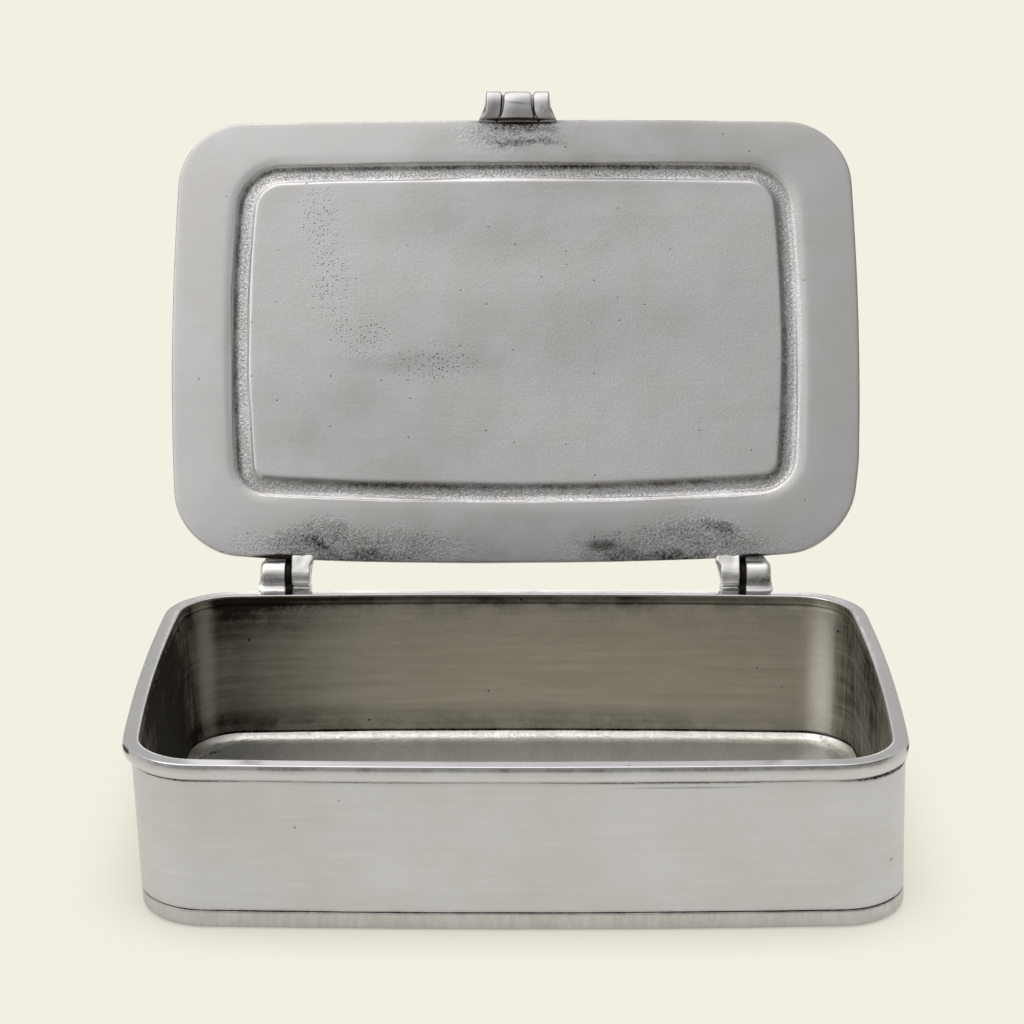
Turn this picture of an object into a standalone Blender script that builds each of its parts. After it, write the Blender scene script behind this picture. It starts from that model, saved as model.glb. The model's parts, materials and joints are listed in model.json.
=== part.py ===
# A hinged box of cast and hand-finished pewter, standing with its lid open.
# Metres. X runs to the right, Y to the back, Z up. The origin is on the underside, at the middle
# of the collar as seen from above.

import math

import bmesh
import bpy
from mathutils import Vector

# Whole box
RIM_LENGTH = 0.170            # widest, over the collar
RIM_DEPTH = 0.1116            # front to back, over the collar
BOX_HEIGHT = 0.0378           # underside to the top of the collar
CORNER_RADIUS = 0.0149        # collar's corners, seen from above
END_BOW = 0.0019              # how far each end swells outward
SIDE_BOW = 0.0020             # how far the front and the back swell outward
SEAT_GAP = 0.0003             # between pieces that are soldered or that rest on each other

# Base tray
BASE_INSET = 0.0015           # base's side, in from the collar's outer face
FOOT_DRIFT = 0.0017           # the hand-made box leans, so its foot stands this far to the right
FOOT_FORWARD = 0.0010         # and this far forward
BASE_EDGE_RADIUS = 0.0015     # rounding under the foot of the box
BASE_BAND_HEIGHT = 0.0042     # up to the line that shows round the foot
UPSTAND_THICKNESS = 0.0010    # thin wall that the band fits behind
LEDGE_HEIGHT = 0.0022         # where the inner half of the band stands
FLOOR_THICKNESS = 0.0014
COVE_WIDTH = 0.0050           # hollow curve from the floor up to the band

# Wall band
WALL_THICKNESS = 0.0020
WALL_TOP_INSET = 0.0013       # wall's outer face under the collar, in from its outer face
BAND_DRIFT = 0.0005           # how far to the right of the collar's middle the band's top sits

# Collar
LAND_WIDTH = 0.0035           # flat polished top
LAND_THICKNESS = 0.0016
COLLAR_HEIGHT = 0.0040
COLLAR_TAPER = 0.0006         # how far the collar's face draws in on its way down
COLLAR_TURN = math.radians(60)  # the part of a round that the face follows
COLLAR_OUTER_ROUNDING = 0.0006
COLLAR_INNER_ROUNDING = 0.0008

# Lid
LID_INSET = 0.0002            # lid's edge, in from the collar's outer face
LID_THICKNESS = 0.0028
LID_LOWER_ROUNDING = 0.0009
LID_UPPER_ROUNDING = 0.0014
GROOVE_INSET = 0.0127         # from the lid's edge to the groove's outer lip
GROOVE_END_INSET = 0.0016     # more than that at the two ends
GROOVE_WIDTH = 0.0048
GROOVE_DEPTH = 0.0010
GROOVE_CORNER_RADIUS = 0.0085
GROOVE_SHIFT = 0.0020         # groove and panel sit this far towards the thumb piece
BEAD_HEIGHT = 0.0012          # raised moulding on the outside, over the groove
BEAD_WIDTH = 0.0062

# Hinges
HINGE_FROM_END = 0.0287       # end of the collar to the middle of each hinge
HINGE_LENGTH = 0.0122
LID_KNUCKLE_LENGTH = 0.0046
KNUCKLE_GAP = 0.0014          # slot where the pin shows
BOSS_RADIUS = 0.0026          # boss on the outer knuckle that fills most of the slot
BOSS_LENGTH = 0.0009
BARREL_RADIUS = 0.0031
BARREL_CLEARANCE = 0.0005     # barrel to the lid's back edge
AXIS_RISE = 0.0031            # pin's axis above the collar's top
PIN_RADIUS = 0.0012
PIN_CLEARANCE = 0.0001
PIN_CHAMFER = 0.0002
KNUCKLE_ROUNDING = 0.0005
FOOT_DROP = 0.0001            # foot's top, below the collar's top
LEAF_REACH = 0.0031           # leaf under the lid's knuckle, behind the pin's axis
LEAF_CLEARANCE = 0.0003       # leaf to the barrel that turns above it
STOP_REACH = 0.0060           # stop's tip, out from the pin's axis
STOP_THICKNESS = 0.0015
STOP_ROOT = 0.0034            # stop's back at its root, behind the axis
OPEN_ANGLE = 116.7            # degrees from shut, where the lid leans on the stops

# Thumb piece
THUMB_WIDTH = 0.0156
THUMB_REACH = 0.0087          # out from the lid's edge
THUMB_THICKNESS = 0.0019
THUMB_LIFT = 0.0022           # tip's underside above the lid's underside
THUMB_DIP = 0.0003            # how far the underside dips on its way out
THUMB_FLARE = 0.0020          # extra half width where it meets the lid
FLUTE_DEPTH = 0.0007
FLUTE_HALF_WIDTH = 0.0011
FLUTE_FROM_CENTRE = 0.0038
NOTCH_DEPTH = 0.0013          # V cut in the tip at the end of each flute

# Fineness
CORNER_STEPS = 10
SIDE_STEPS = 6
ROUND_STEPS = 3
COVE_STEPS = 5
COLLAR_STEPS = 4
BEAD_STEPS = 8
BARREL_STEPS = 20             # round a whole barrel
FOOT_TURN = 235               # degrees round the barrel to where its foot leaves it
PIN_SIDES = 24
THUMB_STATIONS = 33
THUMB_STEPS = 8               # from the lid's edge to the tip
CUT_OVERRUN = 0.0010
SHARP_ANGLE = math.radians(32)
BEVEL_ANGLE = math.radians(40)

# Shares of the groove's width and depth, from its outer lip to the panel
GROOVE_WIDTH_SHARES = (0.0, 0.10, 0.22, 0.36, 0.62, 0.78, 0.88, 1.0)
GROOVE_DEPTH_SHARES = (0.0, 0.20, 0.75, 1.0, 1.0, 0.75, 0.20, 0.0)

# Worked out from the sizes above
BAND_TOP = BOX_HEIGHT - LAND_THICKNESS - SEAT_GAP
LID_UNDERSIDE = BOX_HEIGHT + SEAT_GAP
AXIS_HEIGHT = BOX_HEIGHT + AXIS_RISE
HINGE_MIDDLE = RIM_LENGTH / 2 - HINGE_FROM_END
HINGE_INNER = HINGE_MIDDLE - HINGE_LENGTH / 2
HINGE_OUTER = HINGE_MIDDLE + HINGE_LENGTH / 2
BOX_KNUCKLE_INNER = HINGE_INNER + LID_KNUCKLE_LENGTH + KNUCKLE_GAP


def outline(inset, corner_radius, shift=(0.0, 0.0), end_inset=0.0):
    """Rounded rectangle with swelling sides, as points in order round the box, moved by the shift."""
    half_length = RIM_LENGTH / 2 - END_BOW - inset - end_inset
    half_depth = RIM_DEPTH / 2 - SIDE_BOW - inset
    arcs = []
    for quarter, (side_x, side_y) in enumerate(((1, 1), (-1, 1), (-1, -1), (1, -1))):
        centre = Vector((side_x * (half_length - corner_radius), side_y * (half_depth - corner_radius)))
        arc = []
        for step in range(CORNER_STEPS + 1):
            turn = math.pi / 2 * (quarter + step / CORNER_STEPS)
            arc.append(centre + corner_radius * Vector((math.cos(turn), math.sin(turn))))
        arcs.append(arc)
    points = []
    for arc, following in zip(arcs, arcs[1:] + arcs[:1]):
        points += arc
        for step in range(1, SIDE_STEPS):
            points.append(arc[-1].lerp(following[0], step / SIDE_STEPS))
    bowed = []
    for point in points:
        swell_x = END_BOW / half_length * (1 - (point.y / half_depth) ** 2)
        swell_y = SIDE_BOW / half_depth * (1 - (point.x / half_length) ** 2)
        bowed.append((point.x * (1 + swell_x) + shift[0], point.y * (1 + swell_y) + shift[1]))
    return bowed


def back_edge(x, inset):
    """How far back the outline lies at this x."""
    half_length = RIM_LENGTH / 2 - END_BOW - inset
    half_depth = RIM_DEPTH / 2 - SIDE_BOW - inset
    return half_depth + SIDE_BOW * (1 - (x / half_length) ** 2)


AXIS_BACK = back_edge(HINGE_MIDDLE, LID_INSET) + BARREL_CLEARANCE + BARREL_RADIUS


def pewter(name, colour, roughness):
    material = bpy.data.materials.new(name)
    material.use_nodes = True
    shader = material.node_tree.nodes["Principled BSDF"]
    shader.inputs["Base Color"].default_value = (*colour, 1.0)
    shader.inputs["Metallic"].default_value = 1.0
    shader.inputs["Roughness"].default_value = roughness
    material.diffuse_color = (*colour, 1.0)
    return material


def add_object(name, mesh_data, material):
    mesh = bpy.data.meshes.new(name)
    bmesh.ops.recalc_face_normals(mesh_data, faces=mesh_data.faces)
    mesh_data.to_mesh(mesh)
    mesh_data.free()
    mesh.shade_smooth()
    mesh.set_sharp_from_angle(angle=SHARP_ANGLE)
    mesh.materials.append(material)
    item = bpy.data.objects.new(name, mesh)
    bpy.context.scene.collection.objects.link(item)
    return item


def skin(name, loops, material, is_ring):
    """A solid skinned over loops of points: a ring, or a body closed at its first and last loop."""
    mesh_data = bmesh.new()
    rows = [[mesh_data.verts.new(point) for point in points] for points in loops]
    following = rows[1:] + rows[:1] if is_ring else rows[1:]
    for near, far in zip(rows, following):
        for here, there in zip(range(len(near)), [*range(1, len(near)), 0]):
            mesh_data.faces.new((near[here], near[there], far[there], far[here]))
    if not is_ring:
        mesh_data.faces.new(rows[0])
        mesh_data.faces.new(rows[-1])
    return add_object(name, mesh_data, material)


def level_loop(inset, height, shift=(0.0, 0.0)):
    """A level loop at an even distance inside the collar, so its corners are concentric with it."""
    return [(x, y, height) for x, y in outline(inset, CORNER_RADIUS - inset, shift)]


def band_shift(height):
    """How far the tray and the band stand from the collar's middle at this height."""
    share = height / BAND_TOP
    return Vector((FOOT_DRIFT + (BAND_DRIFT - FOOT_DRIFT) * share, FOOT_FORWARD * (share - 1)))


def leaning_loop(inset, height):
    """A level loop of the tray or the band, moved along with the box's lean."""
    return level_loop(inset, height, shift=band_shift(height))


def quarter_round(centre_inset, centre_height, radius, first_turn, last_turn, steps):
    """Insets and heights along an arc of a section. Turn 0 points inward, turn 90 points up."""
    section = []
    for step in range(steps + 1):
        turn = math.radians(first_turn + (last_turn - first_turn) * step / steps)
        section.append((centre_inset + radius * math.cos(turn), centre_height + radius * math.sin(turn)))
    return section


def make_base_tray(material):
    underside = quarter_round(BASE_INSET + BASE_EDGE_RADIUS, BASE_EDGE_RADIUS, BASE_EDGE_RADIUS,
                              -90, -180, ROUND_STEPS)
    upstand_inner = BASE_INSET + UPSTAND_THICKNESS
    cove_start = BASE_INSET + WALL_THICKNESS
    cove_height = LEDGE_HEIGHT - FLOOR_THICKNESS
    section = underside + [
        (BASE_INSET, BASE_BAND_HEIGHT),
        (upstand_inner, BASE_BAND_HEIGHT),
        (upstand_inner, LEDGE_HEIGHT),
    ]
    for step in range(COVE_STEPS + 1):
        turn = math.pi / 2 * step / COVE_STEPS
        inset = cove_start + COVE_WIDTH * (1 - math.cos(turn))
        section.append((inset, LEDGE_HEIGHT - cove_height * math.sin(turn)))
    loops = [leaning_loop(inset, height) for inset, height in section]
    return skin("base_tray", loops, material, is_ring=False)


def make_wall_band(material):
    inner_foot = BASE_INSET + UPSTAND_THICKNESS + SEAT_GAP
    outer_foot_height = BASE_BAND_HEIGHT + SEAT_GAP
    inner_foot_height = LEDGE_HEIGHT + SEAT_GAP
    section = [
        (BASE_INSET, outer_foot_height),
        (WALL_TOP_INSET, BAND_TOP),
        (WALL_TOP_INSET + WALL_THICKNESS, BAND_TOP),
        (BASE_INSET + WALL_THICKNESS, inner_foot_height),
        (inner_foot, inner_foot_height),
        (inner_foot, outer_foot_height),
    ]
    loops = [leaning_loop(inset, height) for inset, height in section]
    return skin("wall_band", loops, material, is_ring=True)


def make_rim_frame(material):
    """The flat land and the face below it, which draws in to the band that the collar goes round."""
    skirt_inner = WALL_TOP_INSET - SEAT_GAP
    collar_foot = BOX_HEIGHT - COLLAR_HEIGHT
    land_underside = BOX_HEIGHT - LAND_THICKNESS
    shoulder = BOX_HEIGHT - COLLAR_OUTER_ROUNDING
    land = quarter_round(LAND_WIDTH - COLLAR_INNER_ROUNDING, BOX_HEIGHT - COLLAR_INNER_ROUNDING,
                         COLLAR_INNER_ROUNDING, 0, 90, ROUND_STEPS)
    land += quarter_round(COLLAR_OUTER_ROUNDING, shoulder, COLLAR_OUTER_ROUNDING, 90, 180, ROUND_STEPS)
    loops = [leaning_loop(skirt_inner, land_underside), level_loop(LAND_WIDTH, land_underside)]
    loops += [level_loop(inset, height) for inset, height in land]
    for step in range(1, COLLAR_STEPS + 1):
        turn = COLLAR_TURN * step / COLLAR_STEPS
        share_in = (1 - math.cos(turn)) / (1 - math.cos(COLLAR_TURN))
        height = shoulder - (shoulder - collar_foot) * math.sin(turn) / math.sin(COLLAR_TURN)
        loops.append(level_loop(COLLAR_TAPER * share_in, height, shift=band_shift(height) * share_in))
    loops.append(leaning_loop(skirt_inner, collar_foot))
    return skin("rim_frame", loops, material, is_ring=True)


def lid_place(point):
    """A point of the shut lid, seen from the pin's axis, which is the lid's own origin."""
    x, y, z = point
    return (x, y - AXIS_BACK, z - AXIS_HEIGHT)


def groove_loop(inset, height):
    """A level loop that follows the lid's groove, whose corners have their own radius."""
    radius = GROOVE_CORNER_RADIUS - (inset - GROOVE_INSET - LID_INSET)
    points = outline(inset, radius, (0.0, -GROOVE_SHIFT), GROOVE_END_INSET)
    return [(x, y, height) for x, y in points]


def make_lid_plate(material):
    lid_top = LID_UNDERSIDE + LID_THICKNESS
    groove_start = LID_INSET + GROOVE_INSET
    groove_middle = groove_start + GROOVE_WIDTH / 2
    loops = []
    for width_share, depth_share in zip(reversed(GROOVE_WIDTH_SHARES), reversed(GROOVE_DEPTH_SHARES)):
        inset = groove_start + GROOVE_WIDTH * width_share
        height = LID_UNDERSIDE + GROOVE_DEPTH * depth_share
        loops.append(groove_loop(inset, height))
    edge = quarter_round(LID_INSET + LID_LOWER_ROUNDING, LID_UNDERSIDE + LID_LOWER_ROUNDING,
                         LID_LOWER_ROUNDING, 270, 180, ROUND_STEPS)
    edge += quarter_round(LID_INSET + LID_UPPER_ROUNDING, lid_top - LID_UPPER_ROUNDING,
                          LID_UPPER_ROUNDING, 180, 90, ROUND_STEPS)
    loops += [level_loop(inset, height) for inset, height in edge]
    for step in range(BEAD_STEPS + 1):
        turn = math.pi * step / BEAD_STEPS
        inset = groove_middle - BEAD_WIDTH / 2 * math.cos(turn)
        height = lid_top + BEAD_HEIGHT * math.sin(turn)
        loops.append(groove_loop(inset, height))
    placed = [[lid_place(point) for point in loop] for loop in loops]
    return skin("lid_plate", placed, material, is_ring=False)


def extrude_profile(name, profile, x_near, x_far, material):
    """A profile of (y, z) points drawn out along X, with its edges eased."""
    mesh_data = bmesh.new()
    face = mesh_data.faces.new([mesh_data.verts.new((x_near, y, z)) for y, z in profile])
    drawn = bmesh.ops.extrude_face_region(mesh_data, geom=[face], use_keep_orig=True)
    far_side = [item for item in drawn["geom"] if isinstance(item, bmesh.types.BMVert)]
    bmesh.ops.translate(mesh_data, verts=far_side, vec=(x_far - x_near, 0, 0))
    item = add_object(name, mesh_data, material)
    easing = item.modifiers.new("eased edges", "BEVEL")
    easing.width = KNUCKLE_ROUNDING
    easing.segments = 2
    easing.limit_method = "ANGLE"
    easing.angle_limit = BEVEL_ANGLE
    return item


def barrel_arc(first_turn, last_turn):
    """Points round the pin's axis. Turn 0 points to the back, turn 90 points up."""
    steps = max(2, round(BARREL_STEPS * abs(last_turn - first_turn) / 360))
    points = []
    for step in range(steps + 1):
        turn = math.radians(first_turn + (last_turn - first_turn) * step / steps)
        points.append((BARREL_RADIUS * math.cos(turn), BARREL_RADIUS * math.sin(turn)))
    return points


def box_knuckle_profile():
    """Foot on the collar's back, barrel round the pin, and the stop behind it, from the pin's axis."""
    open_turn = math.radians(OPEN_ANGLE)
    along_lid = Vector((-math.cos(open_turn), math.sin(open_turn)))
    off_lid = Vector((math.sin(open_turn), math.cos(open_turn)))
    lid_top = LID_UNDERSIDE + LID_THICKNESS - AXIS_HEIGHT
    stop_face = lid_top + SEAT_GAP
    root_along = math.sqrt(BARREL_RADIUS ** 2 - stop_face ** 2)
    root_turn = math.degrees(math.atan2(*reversed(along_lid * root_along + off_lid * stop_face)))
    rim_back = back_edge((BOX_KNUCKLE_INNER + HINGE_OUTER) / 2, 0.0) + SEAT_GAP - AXIS_BACK
    foot_top = -AXIS_RISE - FOOT_DROP
    tip = along_lid * STOP_REACH + off_lid * stop_face
    tip_back = tip + off_lid * STOP_THICKNESS
    lower_front = (rim_back, -AXIS_RISE - COLLAR_HEIGHT)
    lower_back = (STOP_ROOT, -BARREL_RADIUS / 2)
    arc = barrel_arc(root_turn, FOOT_TURN)
    solder = ((rim_back + arc[-1][0]) / 2, foot_top)
    return [tuple(tip_back), tuple(tip)] + arc + [solder, (rim_back, foot_top), lower_front, lower_back]


def leaf_profile():
    """Flat leaf on the collar's back, which carries the outer knuckle and runs on under the lid's."""
    rim_back = back_edge(HINGE_INNER, 0.0) + SEAT_GAP - AXIS_BACK
    top = -BARREL_RADIUS - LEAF_CLEARANCE
    foot = -AXIS_RISE - COLLAR_HEIGHT
    return [(rim_back, foot), (LEAF_REACH, foot), (LEAF_REACH, top), (rim_back, top)]


def lid_knuckle_profile():
    """Barrel with the web that reaches the shut lid's back edge, from the pin's axis."""
    lid_back = back_edge(HINGE_INNER + LID_KNUCKLE_LENGTH / 2, LID_INSET) + SEAT_GAP - AXIS_BACK
    web_top = LID_UNDERSIDE + LID_THICKNESS - AXIS_HEIGHT
    top_turn = 180 - math.degrees(math.asin(web_top / BARREL_RADIUS))
    web_foot = LID_UNDERSIDE - AXIS_HEIGHT
    return [(lid_back, web_top), (lid_back, web_foot)] + barrel_arc(-90, top_turn)


def make_round_guide(name, radius, length, sides, middle):
    """A round bar along the pin's axis that another piece is cut by or joined to."""
    mesh_data = bmesh.new()
    bmesh.ops.create_cone(mesh_data, cap_ends=True, segments=sides, radius1=radius, radius2=radius,
                          depth=length)
    guide = add_object(name, mesh_data, None)
    guide.rotation_euler.y = math.pi / 2
    guide.location = (middle, AXIS_BACK, AXIS_HEIGHT)
    return hide_guide(guide)


def hide_guide(guide):
    guide.hide_render = True
    guide.display_type = "WIRE"
    return guide


def combine(item, guide, operation):
    step = item.modifiers.new(guide.name, "BOOLEAN")
    step.operation = operation
    step.solver = "EXACT"
    step.object = guide


def make_box_knuckle(side, word, material):
    """Barrel, foot and stop in one piece with the leaf and with the boss that fills the slot."""
    origin = (0, AXIS_BACK, AXIS_HEIGHT)
    knuckle = extrude_profile("box_knuckle_" + word, box_knuckle_profile(),
                              side * BOX_KNUCKLE_INNER, side * HINGE_OUTER, material)
    knuckle.location = origin
    leaf = extrude_profile("leaf_guide", leaf_profile(),
                           side * HINGE_INNER, side * (BOX_KNUCKLE_INNER + CUT_OVERRUN), material)
    leaf.location = origin
    boss_middle = BOX_KNUCKLE_INNER + (CUT_OVERRUN - BOSS_LENGTH) / 2
    boss = make_round_guide("boss_guide", BOSS_RADIUS, BOSS_LENGTH + CUT_OVERRUN, BARREL_STEPS,
                            side * boss_middle)
    combine(knuckle, hide_guide(leaf), "UNION")
    combine(knuckle, boss, "UNION")
    return knuckle


def make_hinge(side, word, material, lid_axis):
    bore = make_round_guide("bore_guide", PIN_RADIUS + PIN_CLEARANCE, HINGE_LENGTH + 2 * CUT_OVERRUN,
                            PIN_SIDES, side * HINGE_MIDDLE)
    box_knuckle = make_box_knuckle(side, word, material)
    lid_knuckle = extrude_profile("lid_knuckle_" + word, lid_knuckle_profile(),
                                  side * HINGE_INNER, side * (HINGE_INNER + LID_KNUCKLE_LENGTH), material)
    lid_knuckle.parent = lid_axis
    combine(box_knuckle, bore, "DIFFERENCE")
    combine(lid_knuckle, bore, "DIFFERENCE")
    make_pin(side, word, material)


def make_pin(side, word, material):
    mesh_data = bmesh.new()
    made = bmesh.ops.create_cone(mesh_data, cap_ends=True, segments=PIN_SIDES, radius1=PIN_RADIUS,
                                 radius2=PIN_RADIUS, depth=HINGE_LENGTH)
    ends = [edge for vert in made["verts"] for edge in vert.link_edges
            if edge.verts[0].co.z == edge.verts[1].co.z]
    bmesh.ops.bevel(mesh_data, geom=list(set(ends)), offset=PIN_CHAMFER, segments=1, affect="EDGES")
    pin = add_object("hinge_pin_" + word, mesh_data, material)
    pin.rotation_euler.y = math.pi / 2
    pin.location = (side * HINGE_MIDDLE, AXIS_BACK, AXIS_HEIGHT)


def flute_at(x):
    """How deep the nearest flute is here, from 0 on a lobe to 1 in its line."""
    away = abs(abs(x) - FLUTE_FROM_CENTRE)
    return max(0.0, 1 - away / FLUTE_HALF_WIDTH)


def thumb_underside(out):
    """Height of the thumb piece's underside above the lid's, at this distance from the lid's edge."""
    share = out / THUMB_REACH
    dip = THUMB_DIP * math.sin(math.pi * min(1.0, 2 * share))
    return SEAT_GAP - dip + THUMB_LIFT * share ** 3


def thumb_section(x):
    """Loop of (out, height) points: along the underside to the tip, then back over the top."""
    flute = flute_at(x)
    tip = THUMB_REACH - NOTCH_DEPTH * flute
    under = []
    over = []
    for step in range(THUMB_STEPS + 1):
        out = SEAT_GAP + (tip - SEAT_GAP) * step / THUMB_STEPS
        height = thumb_underside(out)
        tilt = 3 * THUMB_LIFT * (out / THUMB_REACH) ** 2 / THUMB_REACH
        lean = THUMB_THICKNESS / math.hypot(1, tilt)
        under.append((out, height + FLUTE_DEPTH * flute))
        over.append((max(SEAT_GAP, out - lean * tilt), height + lean))
    return under + list(reversed(over))


def make_thumb_piece(material):
    lid_front = -back_edge(0.0, LID_INSET)
    loops = []
    for station in range(THUMB_STATIONS):
        x = THUMB_WIDTH * (station / (THUMB_STATIONS - 1) - 1 / 2)
        loop = []
        for out, height in thumb_section(x):
            spread = 1 + THUMB_FLARE / (THUMB_WIDTH / 2) * (1 - out / THUMB_REACH) ** 4
            loop.append(lid_place((x * spread, lid_front - out, LID_UNDERSIDE + height)))
        loops.append(loop)
    return skin("thumb_piece", loops, material, is_ring=False)


def make_box():
    for item in list(bpy.data.objects):
        bpy.data.objects.remove(item)
    cast = pewter("satin pewter", (0.46, 0.45, 0.43), 0.38)
    polished = pewter("polished pewter", (0.56, 0.55, 0.54), 0.24)
    inside = pewter("darkened pewter", (0.36, 0.34, 0.31), 0.40)
    make_base_tray(inside)
    make_wall_band(cast)
    make_rim_frame(polished)
    lid_axis = bpy.data.objects.new("lid_axis", None)
    bpy.context.scene.collection.objects.link(lid_axis)
    lid_axis.location = (0, AXIS_BACK, AXIS_HEIGHT)
    lid_axis.rotation_euler.x = -math.radians(OPEN_ANGLE)
    make_lid_plate(cast).parent = lid_axis
    make_thumb_piece(polished).parent = lid_axis
    for side, word in ((-1, "left"), (1, "right")):
        make_hinge(side, word, polished, lid_axis)


make_box()
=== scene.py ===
import json
import math

import bmesh
import bpy
from mathutils import Matrix, Vector, noise


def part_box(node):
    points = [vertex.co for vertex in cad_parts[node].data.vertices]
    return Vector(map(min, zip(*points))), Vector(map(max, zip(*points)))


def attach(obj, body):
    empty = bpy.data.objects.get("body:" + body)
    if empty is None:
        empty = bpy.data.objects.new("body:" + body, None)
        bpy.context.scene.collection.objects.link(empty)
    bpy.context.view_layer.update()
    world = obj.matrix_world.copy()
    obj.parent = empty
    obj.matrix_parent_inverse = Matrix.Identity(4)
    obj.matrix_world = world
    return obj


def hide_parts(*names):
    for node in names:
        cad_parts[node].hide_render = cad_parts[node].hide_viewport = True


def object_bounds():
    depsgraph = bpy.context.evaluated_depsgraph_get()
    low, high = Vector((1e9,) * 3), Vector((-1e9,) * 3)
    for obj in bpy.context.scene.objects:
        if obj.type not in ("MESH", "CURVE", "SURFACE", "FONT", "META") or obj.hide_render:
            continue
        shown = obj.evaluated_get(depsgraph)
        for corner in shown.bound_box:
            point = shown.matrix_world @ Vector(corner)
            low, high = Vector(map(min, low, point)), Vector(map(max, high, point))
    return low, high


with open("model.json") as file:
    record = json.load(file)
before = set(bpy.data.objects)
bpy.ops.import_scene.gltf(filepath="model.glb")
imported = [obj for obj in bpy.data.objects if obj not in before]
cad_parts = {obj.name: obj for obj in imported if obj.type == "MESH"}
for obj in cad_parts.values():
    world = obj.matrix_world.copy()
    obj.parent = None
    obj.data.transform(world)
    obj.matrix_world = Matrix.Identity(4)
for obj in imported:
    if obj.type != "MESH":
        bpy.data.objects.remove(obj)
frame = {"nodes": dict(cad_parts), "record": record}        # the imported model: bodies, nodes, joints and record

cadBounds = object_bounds()
print("frame loaded")

# Whole box, in metres. X to the right, Y to the back, Z up
rimLow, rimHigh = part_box("rim_frame")
box = {
    "length": rimHigh.x - rimLow.x,  # over the collar
    "depth": rimHigh.y - rimLow.y,
    "top": rimHigh.z,  # the collar's land
    "cornerRadius": 0.0149,
    "endBow": 0.0019,  # the ends and the sides swell outward
    "sideBow": 0.0020,
    "bandTop": 0.0359,
    "topDrift": 0.0005,  # the box leans to the right and forward towards its foot
    "footDrift": 0.0017,
    "footForward": 0.0010,
    "cornerSteps": 12,
    "longSteps": 58,
    "shortSteps": 34,
    "seatGap": 0.0003,
}
longSpan = box["longSteps"] + box["cornerSteps"]
joint = frame["record"]["behaviour"]["joints"][0]
axis = Vector(joint["pos_m"])
openAngle = math.radians(joint["range_deg"][1])
openTurn = Matrix.Translation(axis) @ Matrix.Rotation(-openAngle, 4, "X") @ Matrix.Translation(-axis)


# Outlines and rings

def outlinePoints(inset, radii=None, shift=(0.0, 0.0), endInset=0.0):
    halfLength = box["length"] / 2 - box["endBow"] - inset - endInset
    halfDepth = box["depth"] / 2 - box["sideBow"] - inset
    if radii is None:
        radii = [box["cornerRadius"] - inset] * 4
    arcs = []
    for quarter, (sideX, sideY) in enumerate(((1, 1), (-1, 1), (-1, -1), (1, -1))):
        radius = radii[quarter]
        centre = Vector((sideX * (halfLength - radius), sideY * (halfDepth - radius)))
        arc = []
        for step in range(box["cornerSteps"] + 1):
            turn = math.pi / 2 * (quarter + step / box["cornerSteps"])
            arc.append(centre + radius * Vector((math.cos(turn), math.sin(turn))))
        arcs.append(arc)
    points = []
    for number, arc in enumerate(arcs):
        following = arcs[(number + 1) % 4]
        steps = box["longSteps"] if number % 2 == 0 else box["shortSteps"]
        points += arc
        for step in range(1, steps):
            points.append(arc[-1].lerp(following[0], step / steps))
    bowed = []
    for point in points:
        swellX = box["endBow"] / halfLength * (1 - (point.y / halfDepth) ** 2)
        swellY = box["sideBow"] / halfDepth * (1 - (point.x / halfLength) ** 2)
        bowed.append((point.x * (1 + swellX) + shift[0], point.y * (1 + swellY) + shift[1]))
    return bowed


def lean(height):
    share = height / box["bandTop"]
    drift = box["footDrift"] + (box["topDrift"] - box["footDrift"]) * share
    return (drift, box["footForward"] * (share - 1))


def level(inset, height, radii=None, shift=(0.0, 0.0), endInset=0.0):
    return [Vector((x, y, height)) for x, y in outlinePoints(inset, radii, shift, endInset)]


def backEdge(x, inset):
    halfLength = box["length"] / 2 - box["endBow"] - inset
    halfDepth = box["depth"] / 2 - box["sideBow"] - inset
    return halfDepth + box["sideBow"] * (1 - (x / halfLength) ** 2)


def waver(point, size, amount, seed):
    return amount * noise.noise(Vector(point) / size + Vector((seed, seed * 1.7, seed * 0.6)))


def quarterTurns(steps):
    return [math.pi / 2 * step / steps for step in range(steps + 1)]


# How far a surface draws in near an end that is rounded with this radius
def drawnIn(radius, fromEnd):
    within = max(0.0, 1 - fromEnd / radius)
    return radius * (1 - math.sqrt(max(0.0, 1 - within ** 2)))


def insideBounds(place):
    low, high = cadBounds
    return Vector([min(max(place[side], low[side]), high[side]) for side in range(3)])


# Building a piece: a ring is extruded once for each row, and every row is then settled in its place

def mark(patinaAndPaintedShade=0.0, grain=0.0, polish=0.0, inside=0.0):
    return {"patinaAndPaintedShade": patinaAndPaintedShade, "grain": grain, "polish": polish, "inside": inside}


def openMesh(piece):
    mesh = bmesh.from_edit_mesh(piece.data)
    return mesh, mesh.verts.layers.int["row"], mesh.verts.layers.int["station"]


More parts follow.
